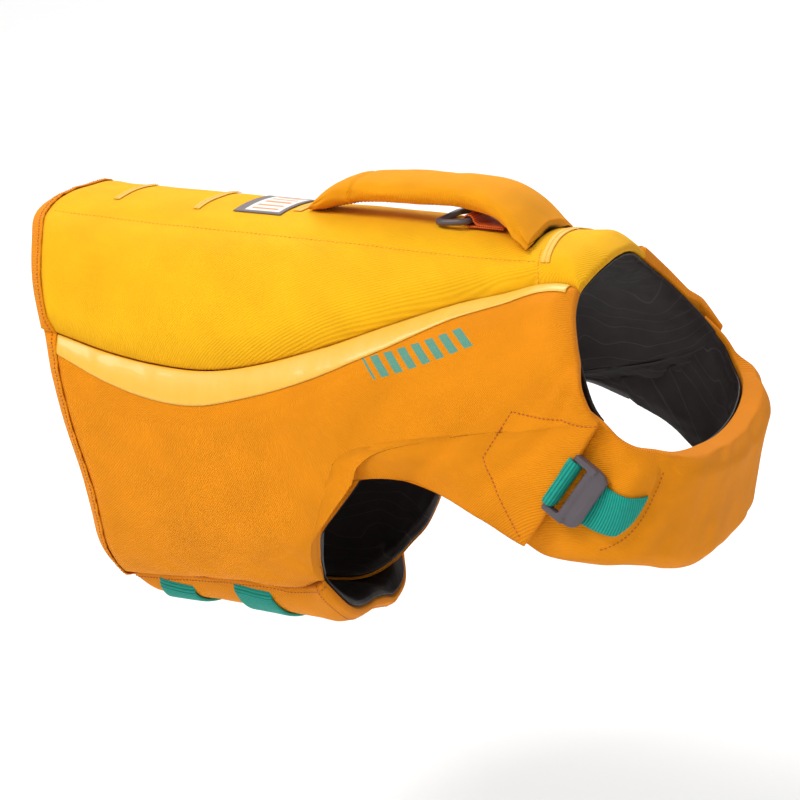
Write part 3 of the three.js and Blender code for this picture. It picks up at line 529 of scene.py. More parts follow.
# Twill weave: ribs that run across the cloth at a slant, cut by finer threads
def twill_group():
    tree, given, out = group_tree("twill", {"Cloth": "Vector", "Pitch": "Float"}, ["Height", "Tone"])
    x, y = split(tree, given["Cloth"])[:2]
    slant = maths(tree, "DIVIDE", maths(tree, "ADD", x, y), given["Pitch"])
    cross = maths(tree, "DIVIDE", maths(tree, "SUBTRACT", x, y), given["Pitch"])
    rib = maths(tree, "SINE", maths(tree, "MULTIPLY", slant, 1.4 * math.pi))
    fine = maths(tree, "SINE", maths(tree, "MULTIPLY", cross, 2.8 * math.pi))
    height = maths(tree, "MULTIPLY_ADD", fine, 0.25, rib)
    blotch = noise(tree, given["Cloth"], 38, 3)
    grain = noise(tree, given["Cloth"], 1400, 2)
    tree.links.new(maths(tree, "MULTIPLY_ADD", grain, 0.5, height), out["Height"])
    # Tone is partly the cloth's own blotches and grain and partly painted shade: lower between the twill
    # ribs and higher on them
    tone = maths(tree, "MULTIPLY_ADD", height, 0.2, maths(tree, "MULTIPLY_ADD", grain, 0.25, blotch))
    tree.links.new(maths(tree, "SUBTRACT", tone, 0.12), out["Tone"])
    return tree


twill = twill_group()
CANVAS_PITCH = 0.9 * MM


def shade(colour, factor):
    return tuple(clamp(np.array(colour) * factor)) + (1,)


def new_material(name, values):
    material = bpy.data.materials.new(name)
    material.use_nodes = True
    for key, value in values.items():
        material.node_tree.nodes["Principled BSDF"].inputs[key].default_value = value
    return material, material.node_tree


# Joins a colour, and where given a bump and a roughness, to a material's surface
def dress(tree, ink, height=None, strength=0.0, deep=0.0, rough=None):
    surface = tree.nodes["Principled BSDF"].inputs
    tree.links.new(ink, surface["Base Color"])
    if height is not None:
        raised = {"Strength": strength, "Distance": deep * MM, "Height": height}
        tree.links.new(node(tree, "ShaderNodeBump", raised).outputs[0], surface["Normal"])
    if rough is not None:
        tree.links.new(rough, surface["Roughness"])


# Woven polyester canvas: twill ribs with painted shade between them, slight blotches, and a painted shade
# that makes it darker and redder near each seam
def canvas(name, colour, roughness=0.82, sheen=0.02, bump=0.5):
    material, tree = new_material(name, {
        "Roughness": roughness, "Specular IOR Level": 0.12, "Sheen Weight": sheen, "Sheen Roughness": 0.5})
    placed = {"Cloth": cloth_map(tree), "Pitch": CANVAS_PITCH}
    weave = node(tree, "ShaderNodeGroup", placed, node_tree=twill).outputs
    tone = blend(tree, weave["Tone"], shade(colour, 0.8), shade(colour, 1.12))
    # Painted shade: near each seam the colour is darkened and reddened, standing for the shade in the seam's
    # valley
    seam = node(tree, "ShaderNodeAttribute", attribute_name="seam").outputs["Fac"]
    dark = shade(np.array(colour) * (1, 0.72, 0.6), 0.6)
    ink = blend(tree, maths(tree, "MULTIPLY", seam, 0.32), tone, dark)
    dress(tree, ink, weave["Height"], bump, 0.25)
    return material


# Puts a finished piece on its body, in place of the plain solids that it stands for
def fit(piece, material, slot, *solids, body="jacket"):
    piece.data.materials.append(material)
    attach(piece, body)
    if solids:
        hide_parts(*solids)
    return piece


def back_half(side):
    return coons(
        lambda s: place_of(mix(HEM["u"][0], NECK[side]["u"][0], s), 0.0 * s),
        seam_line(side, -SEAM_SHIFT),
        end_between(HEM, 0, SEAM[side]["a"][0] - SEAM_SHIFT),
        end_between(NECK[side], 0, SEAM[side]["a"][-1] - SEAM_SHIFT),
    )


back_right, back_left = back_half("right"), back_half("left")


def back_place(s, v):
    s, v = np.broadcast_arrays(np.asarray(s, float), np.asarray(v, float))
    half = np.where((v < 0)[..., None], back_left(s, np.abs(v)), back_right(s, np.abs(v)))
    return half * np.stack([np.ones_like(v), np.sign(v)], -1)


def back_thick(s, v):
    tall = np.abs(back_place(s, 1.0)[..., 1]) * PER_DEGREE
    distance = np.minimum(np.minimum(s, 1 - s) * BACK_LENGTH, (1 - np.abs(v)) * tall)
    return pillow(BACK_THICK, distance)


# Quilting lines either side of the spine, with a short cross line ahead of the handle
QUILT = [(0.03, 23.5), (0.3, 22.8), (0.6, 22), (0.87, 21.5)]
QUILT_CROSS = [(0.872, 27.5), (0.868, 15)]


def back_relief(panel):
    turned = np.abs(panel.a)
    lines = np.minimum(line_distance(panel.u, turned, QUILT), line_distance(panel.u, turned, QUILT_CROSS))
    relief = groove(lines, 0.35, 0.9) + groove(lines, 0.5, 6)
    relief += panel.waves(3, (0.8, 5, 22), (0.25, 17, 7))
    relief += panel.puckers(
        ("top", 5, 0.5, 9, 9), ("bottom", 6, 0.5, 9, 9), ("rear", 7, 0.9, 17, 22), ("front", 8, 0.5, 9, 9))
    return relief + 2.0 * np.exp(-(panel.edges["rear"] / 12) ** 2)


yellow_canvas = canvas("yellow_canvas", YELLOW)
back = Panel(back_place, lambda s, v: 0 * s * v, back_thick, back_relief, (BACK_LENGTH, 210), 1.7,
             span=(-1, 1))
back_panel = panel_piece("back_panel_padded", back)
fit(back_panel, yellow_canvas, "yellow_canvas", "back_panel")

# Side panels. Orange canvas over 9 mm of foam, sewn to the back, cut round each armhole and
# narrowing to the chest. Their front edges are sewn over the collar's ends, and the left one
# runs on under the belly wrap as a thin flap.
SIDE_THICK = 9
ORANGE = (0.80, 0.262, 0.004)
TUCK_LENGTH, TUCK_ROOM, TUCK_RAMP = 15, 3, 16
MOUTH_LIFT = 3.2 + 1.6 + 0.9
CLOSING = 1.9
NECK_ROLL = {"right": 0.6, "left": 2.8}
NECK_SHARE, BELLY_SHARE = 0.52, 0.45
MOUTH = {
    "right": table(
        "u a", (0.948, 84), (0.918, 84.6), (0.885, 87), (0.853, 91.5), (0.823, 97), (0.787, 104.5)),
    "left": table(
        "u a", (0.973, 84), (0.935, 84.6), (0.9, 85.6), (0.865, 87), (0.827, 88.6), (0.787, 90)),
}
BELLY_SEAM = table("u a", (0, 153), (0.12, 147.4), (0.273, 140.4), (0.4, 136), (0.448, 129.4))
LEFT_FLAP = table(
    "u a", (0, 168), (0.12, 171), (0.25, 174), (0.32, 175), (0.36, 172),
    (0.395, 160), (0.42, 147), (0.438, 140), (0.456, 129.4))
LOW_EDGE = {"right": BELLY_SEAM, "left": LEFT_FLAP}
ARMHOLE = {
    "right": table(
        "u a", (0.453, 129.4), (0.47, 115), (0.482, 108.5), (0.494, 102.4), (0.513, 97.6), (0.548, 93.6),
        (0.583, 91.5), (0.62, 90.3), (0.69, 90.8), (0.748, 95.5), (0.787, 104.5)),
    "left": table(
        "u a", (0.456, 129.4), (0.478, 115), (0.492, 109.5), (0.508, 103.4), (0.528, 98.4), (0.56, 93.4),
        (0.588, 89.6), (0.62, 86.6), (0.69, 84), (0.74, 85), (0.787, 90)),
}
BAR_TEAL = (0.05, 0.33, 0.26)
BAR_LINE = [(0.627, 63), (0.775, 50)]
BAR_TALL, BAR_PITCH, BAR_SHARE = 9, 7.4, 0.58
DEEP_FOLDS = [
    {"start": (0.568, 91), "end": (0.632, 75), "depth": 1.0, "wide": 7},
    {"start": (0.638, 89), "end": (0.668, 84), "depth": 1.0, "wide": 4},
    {"start": (0.66, 89), "end": (0.745, 77), "depth": 1.6, "wide": 6},
]
SOFT_FOLDS = [
    {"start": (0.61, 89.5), "end": (0.632, 86), "depth": 0.7, "wide": 2.5},
    {"start": (0.70, 84), "end": (0.81, 67), "depth": 0.9, "wide": 5},
    {"start": (0.47, 124), "end": (0.40, 112), "depth": 0.8, "wide": 7},
    {"start": (0.455, 131), "end": (0.33, 124), "depth": 0.9, "wide": 8},
    {"start": (0.20, 143), "end": (0.13, 125), "depth": 0.7, "wide": 8},
    {"start": (0.28, 140), "end": (0.24, 126), "depth": 0.6, "wide": 6},
    {"start": (0.93, 60), "end": (0.87, 66), "depth": 0.8, "wide": 6},
]
POCKET = {
    "right": [(0.94, 83.4), (0.888, 74.5), (0.823, 70), (0.775, 81.5), (0.787, 100.9)],
    "left": [(0.96, 82), (0.905, 73), (0.84, 67.5), (0.79, 76), (0.782, 86.5)],
}


# A cut line walked by its length on the cloth, from 0 to 1
def cut_line(rows):
    steps = np.hypot(np.diff(rows["u"]) * PER_SHARE, np.diff(rows["a"]) * PER_DEGREE)
    walked = {**rows, "length": np.concatenate([[0], np.cumsum(steps)])}
    total = walked["length"][-1]
    return lambda share: place_of(
        smooth(walked, "length", "u", share * total), smooth(walked, "length", "a", share * total))


def joined(first, second, where):
    def line(share):
        share = np.asarray(share, float)
        later = second((share - where) / (1 - where))
        return np.where((share < where)[..., None], first(share / where), later)
    return line


def side_place(side):
    low_edge, neck, mouth, seam = LOW_EDGE[side], NECK[side], MOUTH[side], SEAM[side]
    above = end_between(neck, seam["a"][-1] + SEAM_SHIFT, mouth["a"][0])
    return coons(
        seam_line(side, SEAM_SHIFT),
        joined(cut_line(low_edge), cut_line(ARMHOLE[side]), BELLY_SHARE),
        end_between(HEM, seam["a"][0] + SEAM_SHIFT, low_edge["a"][0]),
        joined(above, cut_line(mouth), NECK_SHARE),
    )


def over_collar(side, u, a):
    mouth = MOUTH[side]
    along = ((mouth["u"][-1] - mouth["u"][0]) * PER_SHARE, (mouth["a"][-1] - mouth["a"][0]) * PER_DEGREE)
    away = ((u - mouth["u"][0]) * PER_SHARE, (a - mouth["a"][0]) * PER_DEGREE)
    behind = -(away[0] * along[1] - away[1] * along[0]) / math.hypot(*along)
    return MOUTH_LIFT * (1 - ease((behind - TUCK_LENGTH - TUCK_ROOM) / TUCK_RAMP)) * ease((u - 0.6) / 0.1)


def fold_depth(u, a, folds):
    deepest = np.zeros(np.shape(u))
    for fold in folds:
        run = np.array([(fold["end"][0] - fold["start"][0]) * PER_SHARE,
                        (fold["end"][1] - fold["start"][1]) * PER_DEGREE])
        x = (u - fold["start"][0]) * PER_SHARE
        y = (a - fold["start"][1]) * PER_DEGREE
        length = math.hypot(*run)
        share = (x * run[0] + y * run[1]) / length**2
        off = np.abs(x * run[1] - y * run[0]) / length
        taper = ease((share + 0.2) / 0.2) * ease((1.25 - share) / 0.7)
        deepest = np.maximum(deepest, fold["depth"] * taper * np.exp(-2 * (off / fold["wide"]) ** 2))
    return deepest


def side_lift(side, place):
    return lambda s, t: over_collar(side, *u_a(place(s, t)))


def side_thick(side, place):
    def thick(s, t):
        u, a = u_a(place(s, t))
        tall = (place(s, 1.0)[..., 1] - place(s, 0.0)[..., 1]) * PER_DEGREE
        distance = np.minimum(np.minimum(s, 1 - s) * BACK_LENGTH, np.minimum(t, 1 - t) * tall)
        foam = pillow(SIDE_THICK, distance)
        in_flap = ease((a - 108) / 14) * ease((0.5 - u) / 0.04) * (side == "left")
        puffed = EDGE_THICK + (foam - EDGE_THICK) * (1 - 0.75 * ease((over_collar(side, u, a) - 1) / 4))
        return mix(puffed, EDGE_THICK, in_flap) - np.minimum(fold_depth(u, a, DEEP_FOLDS), foam - 2)
    return thick


def side_relief(side, seed):
    def relief(panel):
        made = panel.waves(seed, (1.1, 4.3, 26), (0.3, 15, 8))
        made -= fold_depth(panel.u, panel.a, SOFT_FOLDS) * roll_share(panel.edge())
        pocket = line_distance(panel.u, panel.a, POCKET[side])
        made += groove(pocket, 0.45, 0.8) + groove(pocket, 0.4, 4)
        made += panel.puckers(
            ("rear", seed + 2, 0.7, 14, 16), ("top", seed + 3, 0.4, 9, 8),
            ("bottom", seed + 4, 0.75, 10, 11), ("front", seed + 5, 0.35, 12, 8))
        above_mouth = ease((NECK_SHARE - panel.v[None, :]) / 0.16)
        return made + NECK_ROLL[side] * np.exp(-(panel.edges["front"] / 8) ** 2) * above_mouth
    return relief


# A row of plain slanted bars printed across the cloth, in a frame given by its middle and turn
def bar_group():
    tree, given, out = group_tree(
        "printed_bars", {"Middle": "Vector", "Turn": "Float", "Lean": "Float", "Half": "Float"}, ["Ink"])
    away = node(tree, "ShaderNodeVectorMath", {
        0: cloth_map(tree, "print"), 1: given["Middle"]}, operation="SUBTRACT").outputs[0]
    turned = node(tree, "ShaderNodeVectorRotate", {"Vector": away, "Angle": given["Turn"]}).outputs[0]
    x, y = split(tree, turned)[:2]
    lean = maths(tree, "MULTIPLY_ADD", y, given["Lean"], x)
    part = maths(tree, "FRACT", maths(tree, "DIVIDE", lean, BAR_PITCH * MM))
    bar = maths(tree, "LESS_THAN", part, BAR_SHARE)
    across = maths(tree, "LESS_THAN", maths(tree, "ABSOLUTE", y), BAR_TALL * MM / 2)
    along = maths(tree, "LESS_THAN", maths(tree, "ABSOLUTE", lean), given["Half"])
    mask = maths(tree, "MULTIPLY", bar, maths(tree, "MULTIPLY", across, along))
    tree.links.new(maths(tree, "MULTIPLY", mask, 0.9), out["Ink"])
    return tree


def print_bars(material, hand):
    tree = material.node_tree
    under = tree.nodes["Principled BSDF"].inputs["Base Color"].links[0].from_socket
    first, last = (np.array([u * PER_SHARE, a * PER_DEGREE * hand]) * MM for u, a in BAR_LINE)
    run = last - first
    ink = node(tree, "ShaderNodeGroup", {
        "Middle": (*(first + last) / 2, 0), "Turn": -math.atan2(run[1], run[0]), "Lean": -0.35 * hand,
        "Half": math.hypot(*run) / 2}, node_tree=bars).outputs["Ink"]
    dress(tree, blend(tree, ink, under, BAR_TEAL + (1,)))


orange_canvas = canvas("orange_canvas", ORANGE)
bars = bar_group()
sides = {}
for side, hand in (("right", 1), ("left", -1)):
    place = side_place(side)
    panel = Panel(place, side_lift(side, place), side_thick(side, place), side_relief(side, 20 + hand),
                  (BACK_LENGTH, 190), 1.8, hand=hand)
    panel.closed = ("bottom",)
    sides[side] = panel
    piece = panel_piece(f"side_panel_{side}_padded", panel)
    printed = np.stack([panel.u * PER_SHARE, panel.a * PER_DEGREE * hand], -1)
    add_map(piece.data, "print", np.tile(printed.reshape(-1, 2), (2, 1)))
    barred = canvas(f"orange_canvas_{side}", ORANGE)
    print_bars(barred, hand)
    fit(piece, barred, "orange_canvas", f"side_panel_{side}")

# Reflective strips. A tapering strip of pale gold reflective film on each side panel, sewn in
# at the seam with the back and turned under along its free edge. The film dimples a little.
FILM_THICK = 0.6
STRIP_EDGE = table(
    "u a", (0.03, 81), (0.145, 85.5), (0.23, 86.5), (0.325, 85), (0.413, 80), (0.52, 71.5),
    (0.647, 57), (0.75, 45), (0.823, 39), (0.89, 34.5), (0.945, 36.5))


def strip_share(panel, s):
    low, high = np.zeros_like(s), np.full_like(s, 0.5)
    for _ in range(20):
        middle = (low + high) / 2
        u, a = u_a(panel.place(s, middle))
        above = a < smooth(STRIP_EDGE, "u", "a", u)
        low, high = np.where(above, middle, low), np.where(above, high, middle)
    return np.maximum(0.012, low)


# A value from start to end, brought between low and high
def between(tree, value, low, high, start=0.0, end=1.0):
    return node(tree, "ShaderNodeMapRange", {
        "Value": value, "From Min": start, "From Max": end, "To Min": low, "To Max": high}).outputs[0]


def film_material():
    material, tree = new_material("reflective_film", {"Coat Weight": 0.15})
    stretched = node(tree, "ShaderNodeMapping", {"Vector": cloth_map(tree), "Scale": (260, 40, 1)})
    crease = noise(tree, stretched.outputs[0], 1, 4)
    ink = blend(tree, crease, (0.80, 0.42, 0.03, 1), (0.86, 0.48, 0.06, 1))
    dress(tree, ink, crease, 0.15, 0.2, rough=between(tree, crease, 0.36, 0.5))
    return material


film = film_material()
for side, panel in sides.items():
    s = np.linspace(0.028, 0.985, 260)
    share = strip_share(panel, s)
    t = np.linspace(0.0, 1.0, 16)
    s_grid, t_grid = np.broadcast_arrays(s[:, None], share[:, None] * t[None, :])
    u, a = u_a(panel.place(s_grid, t_grid))
    wrinkle = 0.06 * ripple(u * 130, t[None, :] * 1.6, 31) + 0.12 * ripple(u * 40, t[None, :] * 1.2, 32)
    middle = np.sin(np.pi * clamp(t[None, :] * 0.9 + 0.05)) * ease(share[:, None] * 12)
    base = panel.height(s_grid, t_grid) + 0.25 + 0.3 * middle + np.maximum(wrinkle, -0.5) * middle
    rounded = FILM_THICK * (1 - 0.6 * (2 * np.abs(t[None, :] - 0.5)) ** 8)
    strip = wall(f"reflective_strip_{side}_film",
                 skin(u, a * panel.hand, base), skin(u, a * panel.hand, base + rounded))
    fit(strip, film, "reflective_film", f"reflective_strip_{side}")

# Hem tape. A 16 mm band of the orange canvas, folded over the rear edge of the three panels
# and topstitched. It waves a little between its stitches.
TAPE_THICK = 1.0
TAPE_COVER = 8
LINING_THICK = 1.0
LINING_DEPTH = 0.9


def tape_section(panel, v):
    cover = np.linspace(0, TAPE_COVER, 9)
    long = np.interp(v, panel.v, panel.along[-1, :])
    s = cover[None, :] / long[:, None]
    v_grid = np.broadcast_to(v[:, None], s.shape)
    u, a = u_a(panel.place(s, v_grid))
    walked = np.abs(v - v[0])[:, None] * 60
    wave = 0.5 * ripple(walked * 1.1, cover[None, :] / 7, 41) * (cover[None, :] / TAPE_COVER)
    over = panel.height(s, v_grid) + 0.5 + np.maximum(wave, -0.2) + groove(cover[None, :] - 5.6, 0.25, 0.8)
    under = np.full_like(over, -(LINING_DEPTH + LINING_THICK + 1.2))
    turn = np.linspace(0, math.pi, 9)[None, 1:-1]
    top, low, edge = over[:, :1], under[:, :1], u[:, :1] - 0.3 / PER_SHARE
    round_out = mix(top, low, (1 - np.cos(turn)) / 2)
    bulge = edge - 0.3 * np.sin(turn) / PER_SHARE
    thick = TAPE_THICK * (1 - 0.5 * ease((cover[None, :] - TAPE_COVER + 1) / 1))
    inner_u = np.concatenate([u[:, ::-1], bulge, u], 1)
    inner_out = np.concatenate([over[:, ::-1], round_out, under], 1)
    outer_u = np.concatenate([u[:, ::-1], bulge - TAPE_THICK * np.sin(turn) / PER_SHARE, u], 1)
    outer_out = np.concatenate([
        (over + thick)[:, ::-1], round_out + TAPE_THICK * np.cos(turn), under - thick], 1)
    around = np.broadcast_to(a[:, :1] * panel.hand, inner_u.shape)
    return skin(inner_u, around, inner_out), skin(outer_u, around, outer_out)


tape_parts = [
    tape_section(sides["right"], np.linspace(1, 0.004, 150)),
    tape_section(back, np.linspace(1, -1, 180)),
    tape_section(sides["left"], np.linspace(0.004, 1, 180)),
]
hem_inner, hem_outer = (np.concatenate(grids) for grids in zip(*tape_parts))
hem_tape = wall("hem_tape_folded", hem_inner, hem_outer)
fit(hem_tape, orange_canvas, "orange_canvas", "hem_tape")

# Collar. A padded band of the orange canvas round the chest and the front of the neck. Its ends
# are tucked under the side panels, and a seam across it holds each webbing end in a slot.
COLLAR_THICK = 10
COLLAR_LONG, COLLAR_TALL = 290, 74
FRONT_BULGE = 6.4
COLLAR_TOP = {
    "right": table(
        "u a", (0.928, 75), (0.948, 84.4), (0.957, 92), (0.971, 104.4), (0.986, 119.4), (0.994, 138.4),
        (1, 160), (1, 180)),
    "left": table(
        "u a", (0.963, 74), (0.973, 84), (0.978, 92), (0.979, 102), (0.984, 112), (0.992, 124),
        (0.998, 138.4), (1, 160), (1, 180)),
}
COLLAR_LOW = {
    "right": table(
        "u a", (0.765, 96.5), (0.784, 105.4), (0.797, 110.4), (0.81, 112.9), (0.828, 116.4), (0.845, 119.9),
        (0.863, 124.4), (0.878, 131.4), (0.888, 143.9), (0.895, 158), (0.9, 169), (0.902, 180)),
    "left": table(
        "u a", (0.775, 79.5), (0.788, 89.7), (0.806, 92.8), (0.82, 95.8), (0.831, 99.6), (0.844, 106.4),
        (0.856, 113), (0.872, 125), (0.885, 138), (0.895, 155), (0.9, 169), (0.902, 180)),
}
SLOT_SEAM = {
    "right": [(0.968, 120.5), (0.943, 117.8), (0.89, 113.4), (0.862, 111)],
    "left": [(0.978, 118.6), (0.957, 117.3), (0.883, 112.3), (0.868, 111.4)],
}
COLLAR_FOLDS = [
    {"start": (0.955, 104), "end": (0.925, 100), "depth": 1.3, "wide": 6},
    {"start": (0.975, 128), "end": (0.93, 124), "depth": 1.2, "wide": 7},
    {"start": (0.885, 133), "end": (0.925, 130), "depth": 1.1, "wide": 7},
    {"start": (0.982, 148), "end": (0.935, 150), "depth": 1.0, "wide": 8},
    {"start": (0.905, 160), "end": (0.95, 158), "depth": 0.8, "wide": 7},
    {"start": (0.99, 170), "end": (0.95, 174), "depth": 0.8, "wide": 8},
]


def both_sides(rows):
    right, left = cut_line(rows["right"]), cut_line(rows["left"])

    def line(s):
        share = 1 - np.abs(2 * np.asarray(s, float) - 1)
        onwards = left(share) * np.array([1, -1]) + np.array([0, 360])
        return np.where((np.asarray(s) > 0.5)[..., None], onwards, right(share))
    return line


def collar_place():
    top, low = both_sides(COLLAR_TOP), both_sides(COLLAR_LOW)
    return coons(top, low, straight(top(0.0), low(0.0)), straight(top(1.0), low(1.0)))


def collar_thick(s, t):
    end = np.minimum(s, 1 - s) * COLLAR_LONG
    across = roll_share(np.minimum(t, 1 - t) * COLLAR_TALL)
    return mix(EDGE_THICK, COLLAR_THICK, across * ease((end - TUCK_LENGTH - 2) / 24))


def collar_relief(panel):
    folded = np.where(panel.a > 180, 360 - panel.a, panel.a)
    roll = roll_share(panel.edge())
    seams = [line_distance(panel.u, folded, SLOT_SEAM[side]) for side in ("left", "right")]
    seam = np.where(panel.a > 180, *seams)
    made = groove(seam, 0.8, 1.3) + groove(seam, 1.6, 7)
    made += 0.7 * ripple(panel.along / 9, seam / 12, 51) * np.exp(-seam / 9) * roll
    made -= fold_depth(panel.u, folded, COLLAR_FOLDS) * roll
    made += panel.waves(52, (0.9, 9, 15), (0.3, 30, 6))
    made += panel.puckers(("top", 54, 0.9, 9, 10), ("bottom", 55, 0.7, 11, 10))
    ahead = ease((panel.a - 116) / 30) * ease((264 - panel.a) / 14)
    return made + FRONT_BULGE * np.exp(-(panel.edges["top"] / 26) ** 2) * ahead


collar = Panel(collar_place(), lambda s, t: 0 * s * t, collar_thick, collar_relief,
               (COLLAR_LONG, COLLAR_TALL), 1.5)
collar_piece = panel_piece("collar_padded", collar)
fit(collar_piece, orange_canvas, "orange_canvas", "collar")

# Belly wrap. An orange canvas panel over thin foam, sewn to the right side panel's lower edge.
# It passes under the belly and outside the left flap, and ends on the left flank.
BELLY_THICK = 7
BELLY_LONG = 134
BELLY_END = 236
BELLY_LIFT = EDGE_THICK + TAPE_THICK + LINING_DEPTH + LINING_THICK + 1.5
BELLY_FRONT = table(
    "u a", (0.448, 129.4), (0.452, 137), (0.447, 152), (0.433, 168), (0.424, 184), (0.418, 198),
    (0.395, 212), (0.38, 224), (0.378, 236))

belly_top = cut_line(BELLY_SEAM)
belly_place = coons(
    lambda s: belly_top(s) + np.array([0, 2 * SEAM_SHIFT]),
    lambda s: place_of(mix(0.012, BELLY_FRONT["u"][-1], s), BELLY_END),
    lambda t: place_of(mix(0.003, 0.012, t), mix(BELLY_SEAM["a"][0] + 2 * SEAM_SHIFT, BELLY_END, t)),
    cut_line(BELLY_FRONT),
)


def belly_lift(s, t):
    return BELLY_LIFT * ease((belly_place(s, t)[..., 1] - 176) / 13)


def belly_thick(s, t):
    tall = (BELLY_END - belly_place(s, 0.0)[..., 1]) * PER_DEGREE
    distance = np.minimum(np.minimum(s, 1 - s) * BELLY_LONG, np.minimum(t, 1 - t) * tall)
    return pillow(BELLY_THICK, distance)


def belly_relief(panel):
    made = panel.waves(61, (0.8, 12, 14), (0.3, 30, 6))
    for i, edge in enumerate(("rear", "front", "bottom", "top")):
        made += panel.puckers((edge, 63 + i, 0.7, 8, 9))
    made += 2.3 * ease((panel.a - 145) / 16) * roll_share(panel.edge())
    return made + 1.8 * np.exp(-(panel.edges["front"] / 12) ** 2)


belly = Panel(belly_place, belly_lift, belly_thick, belly_relief, (BELLY_LONG, 130), 1.7)
belly.closed = ("front",)
belly_panel = panel_piece("belly_panel_padded", belly)
fit(belly_panel, orange_canvas, "orange_canvas", "belly_panel")

# Linings. Thin dark nylon with a satin face and faint wavy lines, gathered a little all over.
# The body lining is one sheet inside the three shell panels; collar and belly have their own.
LINING_DARK = (0.017, 0.012, 0.011)
INSET = 0.004
LINING_STEP = 2.4


def lining_material():
    material, tree = new_material("lining_nylon", {"Specular IOR Level": 0.22})
    cloth = cloth_map(tree)
    down = maths(tree, "MULTIPLY", split(tree, cloth)["Y"], 110.0)
    wavy = maths(tree, "MULTIPLY_ADD", noise(tree, cloth, 22, 1.5), 6.0, down)
    line = maths(tree, "ABSOLUTE", maths(tree, "SUBTRACT", maths(tree, "FRACT", wavy), 0.5))
    thin = maths(tree, "MULTIPLY", between(tree, line, 1.0, 0.0, 0.0, 0.045), 0.3)
    creases = noise(tree, cloth, 160, 4)
    ink = blend(tree, thin, LINING_DARK + (1,), (0.09, 0.08, 0.085, 1))
    dress(tree, ink, creases, 0.35, 0.5, rough=between(tree, creases, 0.4, 0.62))
    return material


lining = lining_material()


# Gathers of a lining: sharp little ridges that run in from its sewn edges, over slack cloth
def gathers(along, across, distance, seed):
    slack = 0.8 * (1 + ripple(along / 34, across / 26, seed))
    slack += 0.35 * (1 + ripple(along / 12, across / 9, seed + 1))
    sharp = 1 - np.abs(ripple(along / 4.5, distance / 26, seed + 2))
    near = np.exp(-distance / 12)
    return slack * clamp(distance / 8) + 1.4 * sharp**3 * near * clamp(distance / 1.5)


def edge_distance(along, across):
    return np.minimum(np.minimum(along, along[-1:] - along), np.minimum(across, across[:, -1:] - across))


def body_lining_place(s, v):
    share = mix(INSET, 1 - INSET, s)
    inside = 1 - 2 * INSET
    right = sides["right"].place(share, 1 - INSET - clamp(v) * inside)
    middle = back_place(share, np.clip(2 - v, -1, 1) * 0.997)
    left = sides["left"].place(share, INSET + clamp(v - 3) * inside) * np.array([1, -1])
    v = v[..., None] + 0 * right
    return np.where(v < 1, right, np.where(v <= 3, middle, left))


lining_s = np.linspace(0, 1, 118)
lining_v = np.concatenate([np.linspace(0, 0.99, 64), np.linspace(1, 3, 74), np.linspace(3.01, 4, 68)])
u, a = u_a(body_lining_place(*np.broadcast_arrays(lining_s[:, None], lining_v[None, :])))
base = skin(u, a, 0 * u)
along, across = Panel.walk(base, 0), Panel.walk(base, 1)
slack = gathers(across, along, edge_distance(along, across), 71)
slack -= CLOSING * (ease(1 - across / 7) + ease(1 - (across[:, -1:] - across) / 7))
body_lining = wall("body_lining_cloth", skin(u, a, -LINING_DEPTH - LINING_THICK - slack),
                   skin(u, a, -LINING_DEPTH - slack), np.stack([along, across], -1))
fit(body_lining, lining, "lining", "body_lining")

# A lining inside one panel, a little short of its edges
def inner_lining(panel, v_range, s_range, seed):
    s = mix(*s_range, stations(panel.along[-1, 0], LINING_STEP))[:, None]
    v = mix(*v_range, stations(panel.across[0, -1], LINING_STEP))[None, :]
    u, a = u_a(panel.place(s, v))
    lift = panel.lift(s, v) * np.ones_like(u)
    base = skin(u, a, lift)
    along, across = Panel.walk(base, 0), Panel.walk(base, 1)
    slack = gathers(along, across, edge_distance(along, across), seed)
    return u, a, lift, lift - LINING_DEPTH - slack


u, a, lift, high = inner_lining(collar, (0.03, 0.985), (0.012, 0.988), 81)
collar_lining = wall("collar_lining_cloth", skin(u, a, high - LINING_THICK), skin(u, a, high))
fit(collar_lining, lining, "lining", "collar_lining")

u, a, lift, high = inner_lining(belly, (-0.03, 0.988), (0.012, 0.993), 91)
high -= 1.4 * ease(1 - (a - a[:, :1]) / 7)
left = Panel.walk(skin(u, a, lift), 0)
high += CLOSING * ease(1 - (left[-1:] - left) / 7)
belly_lining = wall("belly_lining_cloth", skin(u, a, high - LINING_THICK), skin(u, a, high))
fit(belly_lining, lining, "lining", "belly_lining")

# Handle. A foam roll in the orange canvas, stitched down at both ends over the back, with a
# wrapped cap at its rear and a seam along its underside.
HANDLE_ORANGE = (0.86, 0.33, 0.005)
HANDLE = table(
    "x z half tall drape",
    (-26, 11.4, 8, 1.0, 1), (-19, 15.2, 12, 4.0, 0.6), (-9, 20.2, 15, 5.8, 0), (3, 23.2, 17, 6.6, 0),
    (20, 24.8, 18, 7.0, 0), (41, 25.4, 18, 7.0, 0), (59, 25.6, 19, 7.2, 0), (74, 23.8, 21, 7.5, 0.1),
    (85, 20.0, 24, 7.2, 0.5), (93, 16.4, 27, 5.0, 1), (99, 12.6, 28, 2.2, 1))
HANDLE_SIDES = 64


# Rings of points joined into a tube, closed at both ends
def tube(name, loops):
    around = loops.shape[1]
    middles = loops[[0, -1]].mean(1, keepdims=True)
    loops = np.concatenate([
        np.broadcast_to(middles[0], loops[:1].shape), loops, np.broadcast_to(middles[1], loops[:1].shape)])
    index = np.arange(loops.shape[0] * around).reshape(-1, around)
    faces = quads(index[:-1], np.roll(index[:-1], -1, 1), np.roll(index[1:], -1, 1), index[1:])
    walked = np.stack([Panel.walk(loops, 0), Panel.walk(loops, 1)], -1).reshape(-1, 2)
    piece = make_piece(name, loops.reshape(-1, 3), faces, walked, np.zeros(loops[..., 0].size))
    shape = bmesh.new()
    shape.from_mesh(piece.data)
    bmesh.ops.remove_doubles(shape, verts=shape.verts, dist=1e-7)
    shape.to_mesh(piece.data)
    shape.free()
    return piece


